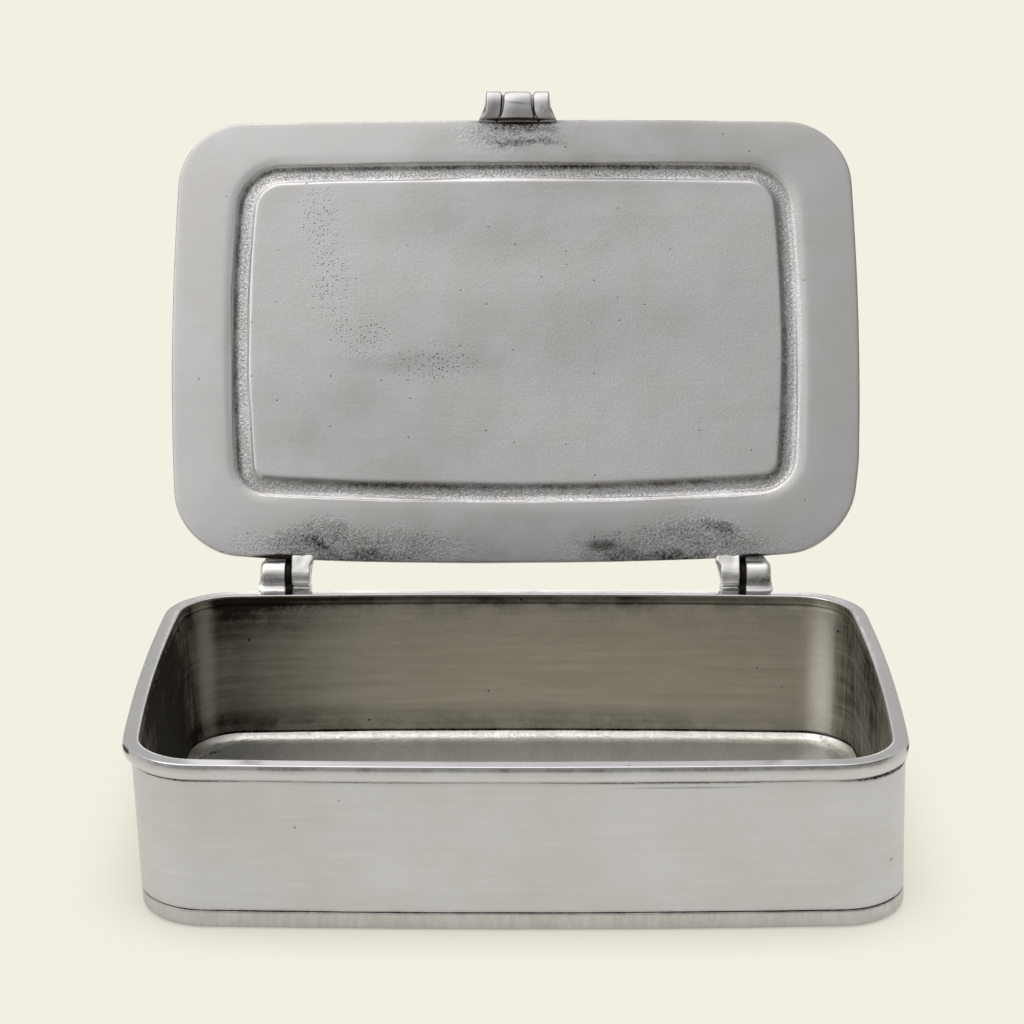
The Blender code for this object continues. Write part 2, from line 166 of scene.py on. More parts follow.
def stackLoops(name, loops, marks, closed=False, caps=(), span=None):
    bpy.ops.mesh.primitive_circle_add(vertices=len(loops[0]), radius=box["depth"] / 2)
    piece = bpy.context.object
    piece.name = name
    piece.data.name = name
    bpy.ops.object.mode_set(mode="EDIT")
    bpy.ops.mesh.select_all(action="SELECT")
    mesh = bmesh.from_edit_mesh(piece.data)
    mesh.verts.layers.int.new("station")
    mesh.verts.layers.int.new("row")
    mesh, row, station = openMesh(piece)
    for number, vert in enumerate(mesh.verts):
        vert[station] = number
    bmesh.update_edit_mesh(piece.data)
    for number in range(1, len(loops)):
        bpy.ops.mesh.extrude_edges_move(TRANSFORM_OT_translate={"value": (0, 0, box["seatGap"])})
        mesh, row, station = openMesh(piece)
        for vert in mesh.verts:
            if vert.select:
                vert[row] = number
    for vert in mesh.verts:
        vert.co = loops[vert[row]][vert[station]]
    bmesh.update_edit_mesh(piece.data)
    if closed:
        bpy.ops.mesh.select_all(action="SELECT")
        bpy.ops.mesh.remove_doubles(threshold=1e-6)
    for number in caps:
        closeRow(piece, number, span)
    bpy.ops.mesh.select_all(action="SELECT")
    bpy.ops.mesh.normals_make_consistent(inside=False)
    bpy.ops.object.mode_set(mode="OBJECT")
    rows = [item.value for item in piece.data.attributes["row"].data]
    for word in mark():
        layer = piece.data.attributes.new(word, "FLOAT", "POINT")
        layer.data.foreach_set("value", [marks[number][word] for number in rows])
    for word in ("row", "station"):
        piece.data.attributes.remove(piece.data.attributes[word])
    return piece


def closeRow(piece, number, span):
    bpy.ops.mesh.select_mode(type="VERT")
    bpy.ops.mesh.select_all(action="DESELECT")
    mesh, row, station = openMesh(piece)
    mesh.select_history.clear()
    for vert in mesh.verts:
        if vert[row] == number and vert.is_boundary:
            vert.select = True
            if vert[station] == box["cornerSteps"] // 2:
                mesh.select_history.add(vert)
    mesh.select_flush(True)
    known = len(mesh.verts)
    bmesh.update_edit_mesh(piece.data)
    if span is None:
        bpy.ops.mesh.edge_face_add()
        return
    bpy.ops.mesh.fill_grid(span=span, offset=0)
    mesh, row, station = openMesh(piece)
    mesh.verts.ensure_lookup_table()
    for vert in mesh.verts[known:]:
        vert[row] = number
    bmesh.update_edit_mesh(piece.data)


def addModifier(piece, kind, settings):
    bpy.context.view_layer.objects.active = piece
    modifier = piece.modifiers.new(kind.lower(), kind)
    for word, value in settings.items():
        setattr(modifier, word, value)
    bpy.ops.object.modifier_apply(modifier=modifier.name)


def soften(piece):
    addModifier(piece, "SUBSURF", {"levels": 1})
    piece.data.shade_smooth()


def dimple(piece, size, strength):
    clouds = bpy.data.textures.new(piece.name + "Clouds", "CLOUDS")
    clouds.noise_scale = size
    clouds.noise_depth = 2
    addModifier(piece, "DISPLACE", {"texture": clouds, "strength": strength, "mid_level": 0.5})
    bpy.data.textures.remove(clouds)


def settle(piece, move):
    for vert in piece.data.vertices:
        vert.co = move(vert.co)


# Base tray: the foot of the box, its floor and the hollow curve round the floor
tray = {
    "inset": 0.0015,
    "underside": (0.0120, 0.0018),  # its two flat rows, measured in from the edge
    "edgeRadius": 0.0015,
    "bandHeight": 0.0042,
    "lip": 0.0002,
    "upstand": 0.0010,
    "ledge": 0.0024,
    "coveStart": 0.0035,
    "coveRadius": 0.0034,  # hollow curve from the wall's foot down to the dished floor
    "coveTop": math.radians(60),
    "coveFoot": math.radians(14),
    "coveSteps": 8,
    "dishWidth": 0.0020,
    "dishSteps": 3,
    "dimples": (0.014, 0.00018),  # size and depth of the cast surface's unevenness
}


def makeTray():
    edge = tray["inset"]
    band = tray["bandHeight"]
    lip = tray["lip"]
    rows = [(edge + inward, 0.0, mark(0.3)) for inward in tray["underside"]]
    for turn in quarterTurns(4):
        inset = edge + tray["edgeRadius"] * (1 - math.sin(turn))
        rows.append((inset, tray["edgeRadius"] * (1 - math.cos(turn)), mark(0.1)))
    rows += [
        (edge, band * 0.6, mark(0.05)),
        (edge, band - 2.5 * lip, mark(0.05)),
        (edge + 0.2 * lip, band - lip / 2, mark(0.35)),
        (edge + lip, band, mark(1.0)),
        (edge + tray["upstand"], band, mark(1.0)),
        (edge + tray["upstand"], tray["ledge"], mark(1.0)),
        (tray["coveStart"] - lip, tray["ledge"], mark(1.0, inside=1.0)),
    ]
    inset, height = tray["coveStart"], tray["ledge"]
    tilt = tray["coveTop"]
    tiltChange = tray["coveFoot"] - tray["coveTop"]
    # The hollow curve is marked polished, which gives it the tray's pale tone, a painted highlight
    for step in range(tray["coveSteps"] + 1):
        rows.append((inset, height, mark(0.2 if step == 0 else 0.0, 0.2, 1.0)))
        nextTilt = tray["coveTop"] + tiltChange * (step + 1) / tray["coveSteps"]
        inset += tray["coveRadius"] * (math.sin(tilt) - math.sin(nextTilt))
        height -= tray["coveRadius"] * (math.cos(nextTilt) - math.cos(tilt))
        tilt = nextTilt
    for step in range(1, tray["dishSteps"] + 1):
        share = step / tray["dishSteps"]
        inset = rows[-1][0] + tray["dishWidth"] / tray["dishSteps"]
        drop = tray["dishWidth"] * math.tan(tray["coveFoot"]) * (share - share ** 2 / 2)
        rows.append((inset, height - drop, mark(0.0, 0.3, 0.3)))
    loops = [level(inset, height, shift=lean(height)) for inset, height, _ in rows]
    marks = [row[2] for row in rows]
    piece = stackLoops("tray", loops, marks, caps=(0, len(rows) - 1), span=longSpan)
    soften(piece)
    dimple(piece, *tray["dimples"])
    settle(piece, insideBounds)
    return piece


# Wall band: bent round and soldered, with a thin dark line where it meets the tray
wall = {
    "topInset": 0.0013,
    "footInset": 0.0015,
    "thickness": 0.0020,
    "edge": 0.0002,
    "rows": 9,
    "innerPaintedShade": (0.30, 0.22, 0.10, 0.03, 0.0, 0.0, 0.0, 0.0, 0.06, 0.25),  # from the collar down: painted shade under the collar, and darker again at the foot
    "dimples": (0.030, 0.00022),
}


def makeWall():
    foot = tray["bandHeight"] + box["seatGap"] / 3
    top = box["bandTop"]
    edge = wall["edge"]
    outer = []
    for step in range(wall["rows"] + 1):
        share = step / wall["rows"]
        inset = wall["footInset"] + (wall["topInset"] - wall["footInset"]) * share
        outer.append((inset, foot + edge + (top - foot - edge) * share))
    rows = [(wall["footInset"] + edge, foot, mark(1.0))]
    for number, (inset, height) in enumerate(outer):
        rows.append((inset, height, mark(0.3 if number == 0 else 0.0)))
        if number == 0:
            rows.append((inset, height + edge, mark()))
    for dark, (inset, height) in zip(wall["innerPaintedShade"], reversed(outer)):
        rows.append((inset + wall["thickness"], height, mark(dark, 0.15, inside=1.0)))
    seat = tray["ledge"] + box["seatGap"]
    lap = wall["footInset"] + tray["upstand"] + box["seatGap"]  # the foot laps over the tray's upstand
    rows.append((wall["footInset"] + wall["thickness"], seat, mark(0.3, inside=1.0)))
    rows.append((lap, seat, mark(1.0)))
    rows.append((lap, foot, mark(1.0)))
    rows.append(rows[0])
    loops = [level(inset, height, shift=lean(height)) for inset, height, _ in rows]
    piece = stackLoops("wall", loops, [row[2] for row in rows], closed=True)
    soften(piece)
    dimple(piece, *wall["dimples"])
    return piece


# Collar: the flat polished land, and the face below it that draws in to the wall
collar = {
    "height": 0.0040,
    "land": 0.0035,
    "landThickness": 0.0016,
    "wallGap": 0.0001,
    "lip": 0.0006,  # the land's inner edge laps over the wall's
    "lipGap": 0.00005,
    # the lip's darkness is painted shade at the top of the inside
    "lipPaintedShade": 0.12,
    "foot": 0.0010,
    "outerRound": 0.0003,
    "innerRound": 0.0003,
    "faceStart": math.radians(-25),  # the face swells a little below the land before it draws in
    "faceTurn": math.radians(60),
    "faceSteps": 9,
    "facePaintedShadeAndSeam": (0.50, 0.30, 0.14, 0.06, 0.0, 0.0, 0.0, 0.05, 0.5, 1.0),  # from the land down: painted shade just below the land, and the dark seam at the foot
    "dimples": (0.016, 0.00008),
}


def makeCollar():
    top = box["top"]
    footHeight = top - collar["height"]
    shoulder = top - collar["outerRound"]
    under = top - collar["landThickness"]
    first, last = collar["faceStart"], collar["faceTurn"]
    startSine = math.sin(first)
    startInset = collar["foot"] * (1 - math.cos(first)) / (1 - math.cos(last))
    rows = []
    for step in range(collar["faceSteps"] + 1):
        turn = first + (last - first) * step / collar["faceSteps"]
        shareIn = (1 - math.cos(turn)) / (1 - math.cos(last))
        down = (math.sin(turn) - startSine) / (math.sin(last) - startSine)
        height = shoulder - (shoulder - footHeight) * down
        leanX, leanY = lean(height)
        leanShare = shareIn if turn > 0 else 0.0
        marks = mark(collar["facePaintedShadeAndSeam"][step], 0.0, 0.35)
        rows.append((collar["foot"] * shareIn, height, (leanX * leanShare, leanY * leanShare), marks))
    straight = (0.0, 0.0)
    wallInset = wall["topInset"] - collar["wallGap"]
    lipInset = wall["topInset"] + wall["thickness"] + collar["lipGap"]
    lipFoot = under - collar["lip"]
    lipMark = mark(collar["lipPaintedShade"], inside=1.0)
    rows += [
        (wallInset, footHeight + collar["wallGap"], lean(footHeight), mark(1.0)),
        (wallInset, under, lean(under), mark(1.0)),
        (lipInset, under, lean(under), lipMark),
        (lipInset, lipFoot, lean(under), lipMark),
        (collar["land"], lipFoot, straight, lipMark),
        (collar["land"], under, straight, lipMark),
        (collar["land"], (top + under) / 2, straight, lipMark),
    ]
    for step, turn in enumerate(quarterTurns(3)):
        inset = collar["land"] - collar["innerRound"] * (1 - math.cos(turn))
        height = top - collar["innerRound"] * (1 - math.sin(turn))
        rows.append((inset, height, straight, mark(0.0, 0.0, 1.0, 0.5 * (3 - step) / 3)))
    rows.append((collar["land"] * 0.55, top, straight, mark(polish=1.0)))
    rows.append((startInset + 2.5 * collar["outerRound"], top, straight, mark(polish=1.0)))
    for turn in quarterTurns(3):
        inset = startInset + collar["outerRound"] * (1 - math.sin(turn))
        height = top - collar["outerRound"] * (1 - math.cos(turn))
        rows.append((inset, height, straight, mark(polish=1.0)))
    rows[-1] = rows[0]
    loops = [level(inset, height, shift=shift) for inset, height, shift, _ in rows]
    piece = stackLoops("collar", loops, [row[3] for row in rows], closed=True)
    soften(piece)
    dimple(piece, *collar["dimples"])
    settle(piece, insideBounds)
    return piece


# Lid, modelled shut and then opened: panel, groove, sloping border, and the bead on its outside
lid = {
    "inset": 0.0,
    "underside": box["top"] + box["seatGap"],
    "thickness": 0.0028,
    "lowerRound": 0.0004,
    "upperRound": 0.0013,
    "rollFrom": 0.052,
    "rollOver": 0.014,
    "backTaper": 0.0011,
    "rightTaper": 0.0024,
    "frontLonger": 0.0003,
    "frontSquare": 0.0012,
    "grooveSquare": 0.0012,
    "borderSlope": 0.0004,  # how far the border's edge falls back
    "grooveInset": 0.0129,
    "grooveWidth": 0.0048,
    "grooveDepth": 0.0012,
    "grooveRadii": (0.0078, 0.0068, 0.0103, 0.0103),
    "leastRadius": 0.0014,
    "grooveShift": 0.0020,
    "endInset": 0.0016,
    "panelRows": (0.0026, 0.0009),  # two flat rows of the panel, measured in from the groove
    "beadStart": 0.0060,
    "beadHeight": 0.0012,
    "beadWidth": 0.0062,
    "beadMiddle": 0.5,  # as a share of the groove's width
    "beadSteps": 10,
    "borderRows": 6,
    "waver": 0.00032,
    "waverSize": 0.018,
    "panelSeed": 2.0,
    "seedDrift": 3.0,
    "beadSeed": 5.0,
    "askew": math.radians(-0.25),  # the lid sits a little turned on its hinges
    "dimples": ((0.034, 0.00020), (0.011, 0.00004)),
}
# How far across the groove from its outer lip, how deep there, and how dark and how grainy it is.
# The darkness is painted shade: it counts in front and to the left where it is above zero, and on the other two
# sides below
grooveSection = (
    (-0.42, 0.00, 0.0, 0.0),
    (-0.30, 0.03, 0.0, 0.0),
    (-0.16, 0.10, 0.0, 0.1),
    (-0.05, 0.18, 0.0, 0.2),
    (0.00, 0.21, 0.0, 0.2),
    (0.04, 0.28, 0.45, 0.3),
    (0.08, 0.36, 0.3, 0.2),
    (0.11, 0.38, 0.25, 0.2),
    (0.16, 0.54, 0.7, 0.4),
    (0.23, 0.78, 0.8, 0.5),
    (0.30, 0.94, 0.65, 0.7),
    (0.37, 1.00, 0.25, 0.9),
    (0.46, 0.96, 0.0, 1.0),
    (0.56, 0.89, -0.1, 1.0),
    (0.66, 0.81, -0.4, 0.9),
    (0.75, 0.71, -0.7, 0.7),
    (0.82, 0.58, -0.8, 0.4),
    (0.88, 0.41, -0.7, 0.1),
    (0.93, 0.22, -0.5, 0.0),
    (0.97, 0.07, -0.2, 0.0),
    (1.03, 0.00, 0.0, 0.0),
)


# The lip rolls softly into the groove at the two ends, and is crisp along the front and the back
def grooveLoop(across, height, seed, deep=0.0):
    inward = lid["grooveWidth"] * across
    radii = [max(lid["leastRadius"], radius - inward) for radius in lid["grooveRadii"]]
    inset = lid["inset"] + lid["grooveInset"] + inward
    points = level(inset, height, radii, (0.0, -lid["grooveShift"]), lid["endInset"])
    for point in points:
        outward = Vector((point.x, point.y, 0)).normalized()
        point += outward * waver(point, lid["waverSize"], lid["waver"], seed)
        towardsEnd = min(1.0, max(0.1, (abs(point.x) - lid["rollFrom"]) / lid["rollOver"]))
        point.z += lid["grooveDepth"] * deep * (towardsEnd if across < 0.02 else 1.0)
        if point.y < 0:
            point.y -= lid["grooveSquare"] * (point.x / box["length"] * 2) ** 2
    return points


# The lid is squarer in front, and its back corners are drawn in, the right one most
def lidOutline(place):
    towardsBack = max(0.0, place.y / (box["depth"] / 2))
    towardsFront = max(0.0, -place.y / (box["depth"] / 2))
    fromMiddle = abs(place.x) / (box["length"] / 2)
    place = place.copy()
    place.y -= lid["backTaper"] * towardsBack * fromMiddle ** 3
    place.y -= (lid["frontLonger"] + lid["frontSquare"] * fromMiddle ** 2) * towardsFront
    if place.x > 0:
        place.x -= lid["rightTaper"] * max(0.0, (towardsBack - 0.55) / 0.45) ** 1.2 * fromMiddle ** 2
    return place


# The groove wall that hangs over when the lid is open, or faces away from the light, is darkened as painted shade
def shadeGroove(piece):
    halfLength = box["length"] / 2 - lid["grooveInset"]
    halfDepth = box["depth"] / 2 - lid["grooveInset"]
    for vert, item in zip(piece.data.vertices, piece.data.attributes["patinaAndPaintedShade"].data):
        if vert.co.z < lid["underside"] + lid["thickness"] * 0.6:
            towards = 0.5 - 1.6 * (vert.co.y / halfDepth + vert.co.x / halfLength)
            upperLeft = min(1.0, max(0.0, towards))
            item.value = max(0.0, item.value) * upperLeft + max(0.0, -item.value) * (1 - upperLeft)


def lidFaceRows(under):
    rows = []
    for extra in lid["panelRows"]:
        loop = grooveLoop(1.04 + extra / lid["grooveWidth"], under, lid["panelSeed"])
        rows.append((loop, mark(grain=0.1)))
    for across, deep, patinaAndPaintedShade, grain in reversed(grooveSection):
        seed = lid["panelSeed"] + lid["seedDrift"] * across
        rows.append((grooveLoop(across, under, seed, deep), mark(patinaAndPaintedShade, grain)))
    lipAcross = lid["grooveWidth"] * grooveSection[0][0]
    borderStart = lid["inset"] + lid["grooveInset"] + lipAcross
    borderEnd = lid["inset"] + lid["lowerRound"]
    for step in range(1, lid["borderRows"] + 1):
        share = step / lid["borderRows"]
        inset = borderStart + (borderEnd - borderStart) * share
        height = under + lid["borderSlope"] * share ** 1.15
        radii = [(radius - lipAcross) * (1 - share) + (box["cornerRadius"] - inset) * share
                 for radius in lid["grooveRadii"]]
        shift = (0.0, -lid["grooveShift"] * (1 - share))
        loop = level(inset, height, radii, shift, lid["endInset"] * (1 - share))
        rows.append((loop, mark(polish=0.3 if share == 1 else 0.0)))
    return rows


def lidEdgeRows(under, top):
    rows = []
    lowest = under + lid["borderSlope"]
    # The lower rounding is darkened as painted shade, which dims its highlight
    for turn in quarterTurns(3)[1:]:
        inset = lid["inset"] + lid["lowerRound"] - lid["lowerRound"] * math.sin(turn)
        loop = level(inset, lowest + lid["lowerRound"] * (1 - math.cos(turn)))
        rows.append((loop, mark(0.35, polish=0.1)))
    for turn in quarterTurns(4):
        inset = lid["inset"] + lid["upperRound"] * (1 - math.cos(turn))
        loop = level(inset, top - lid["upperRound"] * (1 - math.sin(turn)))
        rows.append((loop, mark(polish=0.6)))
    return rows


def lidBeadRows(top):
    middle, steps, seed = lid["beadMiddle"], lid["beadSteps"], lid["beadSeed"]
    half = lid["beadWidth"] / 2 / lid["grooveWidth"]
    rows = [(level(lid["inset"] + lid["beadStart"], top), mark())]
    rows.append((grooveLoop(middle - 1.25 * half, top, seed), mark(0.1, 0.1)))
    for step in range(steps + 1):
        turn = math.pi * step / steps
        loop = grooveLoop(middle - half * math.cos(turn), top + lid["beadHeight"] * math.sin(turn), seed)
        rows.append((loop, mark(0.6 if step in (0, steps) else 0.0, 0.1, 0.5 * math.sin(turn))))
    rows.append((grooveLoop(middle + 1.25 * half, top, seed), mark(0.1, 0.1)))
    rows.append((grooveLoop(middle + 2.2 * half, top, seed), mark()))
    return rows


def makeLid():
    under = lid["underside"]
    top = under + lid["thickness"]
    loops, marks = zip(*lidFaceRows(under), *lidEdgeRows(under, top), *lidBeadRows(top))
    piece = stackLoops("lidPlate", loops, marks, caps=(0, len(loops) - 1), span=longSpan)
    soften(piece)
    shadeGroove(piece)
    for size, strength in lid["dimples"]:
        dimple(piece, size, strength)
    settle(piece, lidOutline)
    piece.data.transform(openTurn @ Matrix.Rotation(lid["askew"], 4, "Z"))
    settle(piece, insideBounds)
    return piece


# Lift tab: three lobes with a thin crease between each two, on the lid's front edge
tab = {
    "width": 0.0158,
    "offset": 0.0005,  # to the right of the lid's middle
    "reach": 0.0080,
    "thickness": 0.0019,
    "lift": 0.0014,
    "dip": 0.0003,
    "flare": 0.0020,
    "crease": 0.00075,
    "creaseHalfWidth": 0.00036,
    "creaseFromCentre": 0.0037,
    "creaseSpread": 0.0010,  # the creases part towards the lid
    "notch": 0.0012,
    "notchHalfWidth": 0.0007,
    "outerLobe": 0.0020,  # from the tab's side to the middle of its outer lobe
    "tipCurve": 0.0005,
    "crown": 0.00035,  # how far each lobe's middle stands out of its sides
    "lap": 0.0008,  # how far its root laps over the lid's rounded edge
    "waver": 0.00010,
    "waverSize": 0.0035,
    "seed": 9.0,
    "stations": 110,
    "steps": 18,
    "rounding": 0.0004,
}


def tabHeight(x, out):
    share = max(0.0, out / tab["reach"])
    height = box["seatGap"] - tab["dip"] * (1 - math.exp(-10 * share))
    height += tab["lift"] * max(0.0, 2 * share - 1) ** 2
    creaseLine = tab["creaseFromCentre"] + tab["creaseSpread"] * max(0.0, 0.5 - share)
    away = abs(abs(x) - creaseLine)
    crease = max(0.0, 1 - away / tab["creaseHalfWidth"]) ** 1.2 * min(1.0, 2.2 - 2 * share)
    crown = (1 - max(0.0, 1 - away / tab["creaseFromCentre"]) ** 2) * tab["crown"]
    uneven = waver((x, out, 0.0), tab["waverSize"], tab["waver"], tab["seed"])
    return height + tab["crease"] * crease - crown + uneven


def tabSection(x, thinner):
    notch = max(0.0, 1 - abs(abs(x) - tab["creaseFromCentre"]) / tab["notchHalfWidth"])
    fromOuter = abs(abs(x) - tab["width"] / 2 + tab["outerLobe"])
    fromMiddle = min(abs(x), fromOuter) / tab["creaseFromCentre"]
    tip = tab["reach"] - tab["notch"] * notch - tab["tipCurve"] * fromMiddle ** 2
    under = []
    over = []
    for step in range(tab["steps"] + 1):
        out = (tip + tab["lap"]) * step / tab["steps"] - tab["lap"]
        share = max(0.0, out / tab["reach"])
        height = tabHeight(x, out)
        tilt = 4 * tab["lift"] * max(0.0, 2 * share - 1) / tab["reach"]
        slant = (tab["thickness"] - 2 * thinner) / math.hypot(1, tilt)
        eased = tab["rounding"] * max(0.0, 1 - (tip - out) / tab["rounding"] / 2)
        under.append((out, height + thinner + eased))
        over.append((max(box["seatGap"] / 3, out - slant * tilt), height + thinner + slant - eased))
    return under + list(reversed(over))


def makeTab():
    front = -backEdge(0.0, lid["inset"]) - lid["frontLonger"]
    loops = []
    for number in range(tab["stations"] + 1):
        share = number / tab["stations"]
        x = tab["width"] * (share - 0.5)
        thinner = drawnIn(tab["rounding"], min(share, 1 - share) * tab["width"])
        loop = []
        for out, height in tabSection(x, thinner):
            spread = 1 + tab["flare"] / (tab["width"] / 2) * min(1.0, 1 - out / tab["reach"]) ** 9
            loop.append(Vector((x * spread + tab["offset"], front - out, lid["underside"] + height)))
        loops.append(loop)
    piece = stackLoops("liftTab", loops, [mark(polish=0.35)] * len(loops), caps=(0, len(loops) - 1))
    soften(piece)
    piece.data.transform(openTurn)
    settle(piece, insideBounds)
    return piece


# Hinges: an outer knuckle on the collar and an inner one on the lid, round one pin
hinge = {
    "barrel": 0.0032,
    "bore": 0.0013,
    "boreExtra": 0.002,  # how far the cutter of the bore sticks out at both ends
    "boreSides": 48,
    "stopReach": 0.0057,
    "stopThickness": 0.0014,
    "stopRoot": 0.0034,
    "footDrop": 0.0001,
    "footTurn": 222,
    "outerRounding": 0.0012,
    "slotRounding": 0.0003,
    "slot": 0.0014,
    "slotClearance": 0.00015,
    "neck": 0.0006,  # how far the outer knuckle draws in beside the inner one
    "stopSlant": 0.0020,
    "footFlare": 0.0005,
    "webFlare": {"left": 0.0008, "right": 0.0012},
    "webReach": 0.0020,
    "webRoot": 0.0012,  # how far the web runs into the lid
    "leafReach": 0.0031,
    "leafClearance": 0.00035,
    "leafUnder": 0.0012,  # how far the leaf runs on below the outer knuckle
    "leafBevel": 0.00025,
    "wear": 0.00016,
    "wearSize": 0.0025,
    "seed": 7.0,
    "arcSteps": 26,
    "profileSteps": 96,
    "slices": 24,
    "sharp": math.radians(40),
}


def barrelArc(firstTurn, lastTurn):
    steps = round(hinge["arcSteps"] * abs(lastTurn - firstTurn) / 360)
    points = []
    for step in range(steps + 1):
        turn = math.radians(firstTurn + (lastTurn - firstTurn) * step / steps)
        points.append(Vector((math.cos(turn), math.sin(turn))) * hinge["barrel"])
    return points


def boxKnuckleProfile(middle):
    alongLid = Vector((-math.cos(openAngle), math.sin(openAngle)))
    offLid = Vector((math.sin(openAngle), math.cos(openAngle)))
    stopFace = lid["underside"] + lid["thickness"] - axis.z + box["seatGap"]
    rootAlong = math.sqrt(hinge["barrel"] ** 2 - stopFace ** 2)
    root = alongLid * rootAlong + offLid * stopFace
    rimBack = backEdge(middle, 0.0) + box["seatGap"] / 3 - axis.y
    footTop = box["top"] - axis.z - hinge["footDrop"]
    tip = alongLid * hinge["stopReach"] + offLid * stopFace
    arc = barrelArc(math.degrees(math.atan2(root.y, root.x)), hinge["footTurn"])
    points = [tip + offLid * hinge["stopThickness"], tip] + arc
    points.append(Vector(((rimBack + arc[-1].x) / 2, footTop * 0.6 + arc[-1].y * 0.4)))
    points.append(Vector((rimBack, footTop)))
    points.append(Vector((rimBack, footTop - collar["height"])))
    points.append(Vector((hinge["stopRoot"], -hinge["barrel"] / 2)))
    return points


def lidKnuckleProfile(middle):
    lidBack = backEdge(middle, lid["inset"]) - hinge["webRoot"] - axis.y
    webTop = lid["underside"] + lid["thickness"] - axis.z
    webFoot = lid["underside"] + lid["borderSlope"] - axis.z
    topTurn = 180 - math.degrees(math.asin(webTop / hinge["barrel"]))
    return [Vector((lidBack, webTop)), Vector((lidBack, webFoot))] + barrelArc(-90, topTurn)


def evenly(points, count):
    closedPoints = points + [points[0]]
    lengths = [0.0]
    for here, there in zip(closedPoints, closedPoints[1:]):
        lengths.append(lengths[-1] + (there - here).length)
    spaced = []
    part = 0
    for step in range(count):
        goal = lengths[-1] * step / count
        while lengths[part + 1] < goal:
            part += 1
        share = (goal - lengths[part]) / (lengths[part + 1] - lengths[part])
        spaced.append(closedPoints[part].lerp(closedPoints[part + 1], share))
    return spaced


def hingeSpans(word):
    side = -1 if word == "left" else 1
    lidLow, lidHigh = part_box("lid_knuckle_" + word)
    pinLow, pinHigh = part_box("hinge_pin_" + word)
    inner = min(abs(lidLow.x), abs(lidHigh.x))
    lidEnd = max(abs(lidLow.x), abs(lidHigh.x))
    outer = max(abs(pinLow.x), abs(pinHigh.x))
    return side, inner, lidEnd, outer


# Lofted through slices from one end to the other, each slice eased in near the ends
def makeKnuckle(name, side, near, far, rounding, profile, flareAt, neck=0.0):
    evenProfile = evenly(profile, hinge["profileSteps"])
    centre = sum(evenProfile, Vector((0.0, 0.0))) / len(evenProfile)
    middle = (near + far) / 2
    half = (far - near) / 2
    loops = []
    for number in range(hinge["slices"] + 1):
        across = math.sin(math.pi * (number / hinge["slices"] - 0.5))
        shrink = drawnIn(rounding[1] if across > 0 else rounding[0], half * (1 - abs(across)))
        if neck:
            shrink += neck * min(1.0, max(0.0, 6 - 6 * half * (1 + across) / hinge["slot"]))
        loop = []
        for point in evenProfile:
            spot = point + (centre - point).normalized() * shrink
            flared = middle + half * across + flareAt(point, across)
            place = Vector((side * flared, axis.y + spot.x, axis.z + spot.y))
            wear = waver(place, hinge["wearSize"], hinge["wear"], hinge["seed"])
            loop.append(place + Vector((0.0, wear, wear)))
        loops.append(loop)
    return stackLoops(name, loops, [mark(polish=0.3)] * len(loops), caps=(0, len(loops) - 1))


def combine(piece, tool, operation):
    addModifier(piece, "BOOLEAN", {"operation": operation, "object": tool, "solver": "EXACT"})
    bpy.data.objects.remove(tool)


def addRod(radius, start, end):
    bpy.ops.mesh.primitive_cylinder_add(
        vertices=hinge["boreSides"], radius=radius, depth=abs(end - start),
        location=((start + end) / 2, axis.y, axis.z), rotation=(0, math.pi / 2, 0))
    rod = bpy.context.object
    bpy.ops.object.transform_apply(location=True, rotation=True, scale=True)
    return rod


def addLeaf(side, near, far):
    front = backEdge(near, 0.0) + box["seatGap"] / 3
    back = axis.y + hinge["leafReach"]
    foot = box["top"] - collar["height"]
    top = axis.z - hinge["barrel"] - hinge["leafClearance"]
    bpy.ops.mesh.primitive_cube_add(size=1.0)
    leaf = bpy.context.object
    leaf.scale = (far - near, back - front, top - foot)
    leaf.location = (side * (near + far) / 2, (front + back) / 2, (foot + top) / 2)
    bpy.ops.object.transform_apply(location=True, rotation=False, scale=True)
    addModifier(leaf, "BEVEL", {"width": hinge["leafBevel"], "segments": 3})
    return leaf


def finishKnuckle(piece, side, inner, outer):
    start = side * (inner - hinge["boreExtra"])
    end = side * (outer + hinge["boreExtra"])
    combine(piece, addRod(hinge["bore"], start, end), "DIFFERENCE")
    piece.data.shade_smooth()
    piece.data.set_sharp_from_angle(angle=hinge["sharp"])
    return piece


def makeOuterKnuckle(word):
    side, inner, lidEnd, outer = hingeSpans(word)
    slotStart = lidEnd + hinge["slotClearance"]
    slotEnd = lidEnd + hinge["slot"]
    stopLength = hinge["stopReach"] - hinge["barrel"]

    def footFlare(point, across):
        foot = min(1.0, max(0.0, -point.y / hinge["barrel"])) ** 6
        stop = min(1.0, max(0.0, (point.length - hinge["barrel"]) / stopLength)) if point.y > 0 else 0.0
        return (hinge["footFlare"] * foot - hinge["stopSlant"] * stop) * max(0.0, across)

    rounding = (hinge["slotRounding"], hinge["outerRounding"])
    piece = makeKnuckle("outerKnuckle_" + word, side, slotStart, outer, rounding,
                        boxKnuckleProfile(side * (slotEnd + outer) / 2), footFlare, hinge["neck"])
    combine(piece, addLeaf(side, inner, slotEnd + hinge["leafUnder"]), "UNION")
    return finishKnuckle(piece, side, inner, outer)


def makeInnerKnuckle(word):
    side, inner, lidEnd, outer = hingeSpans(word)
    lidBack = backEdge(inner, lid["inset"]) + box["seatGap"] / 3 - axis.y

    def webFlare(point, across):
        nearLid = min(1.0, max(0.0, 1 - (point.x - lidBack) / hinge["webReach"]))
        return -hinge["webFlare"][word] * max(0.0, -across) * nearLid ** 3

    rounding = (hinge["slotRounding"], hinge["slotRounding"])
    piece = makeKnuckle("innerKnuckle_" + word, side, inner, lidEnd, rounding,
                        lidKnuckleProfile(side * (inner + lidEnd) / 2), webFlare)
    finishKnuckle(piece, side, inner, outer)
    piece.data.transform(openTurn)
    return piece


# Shader sheets: a Wire is a node's output, so that sums of values read as plain expressions

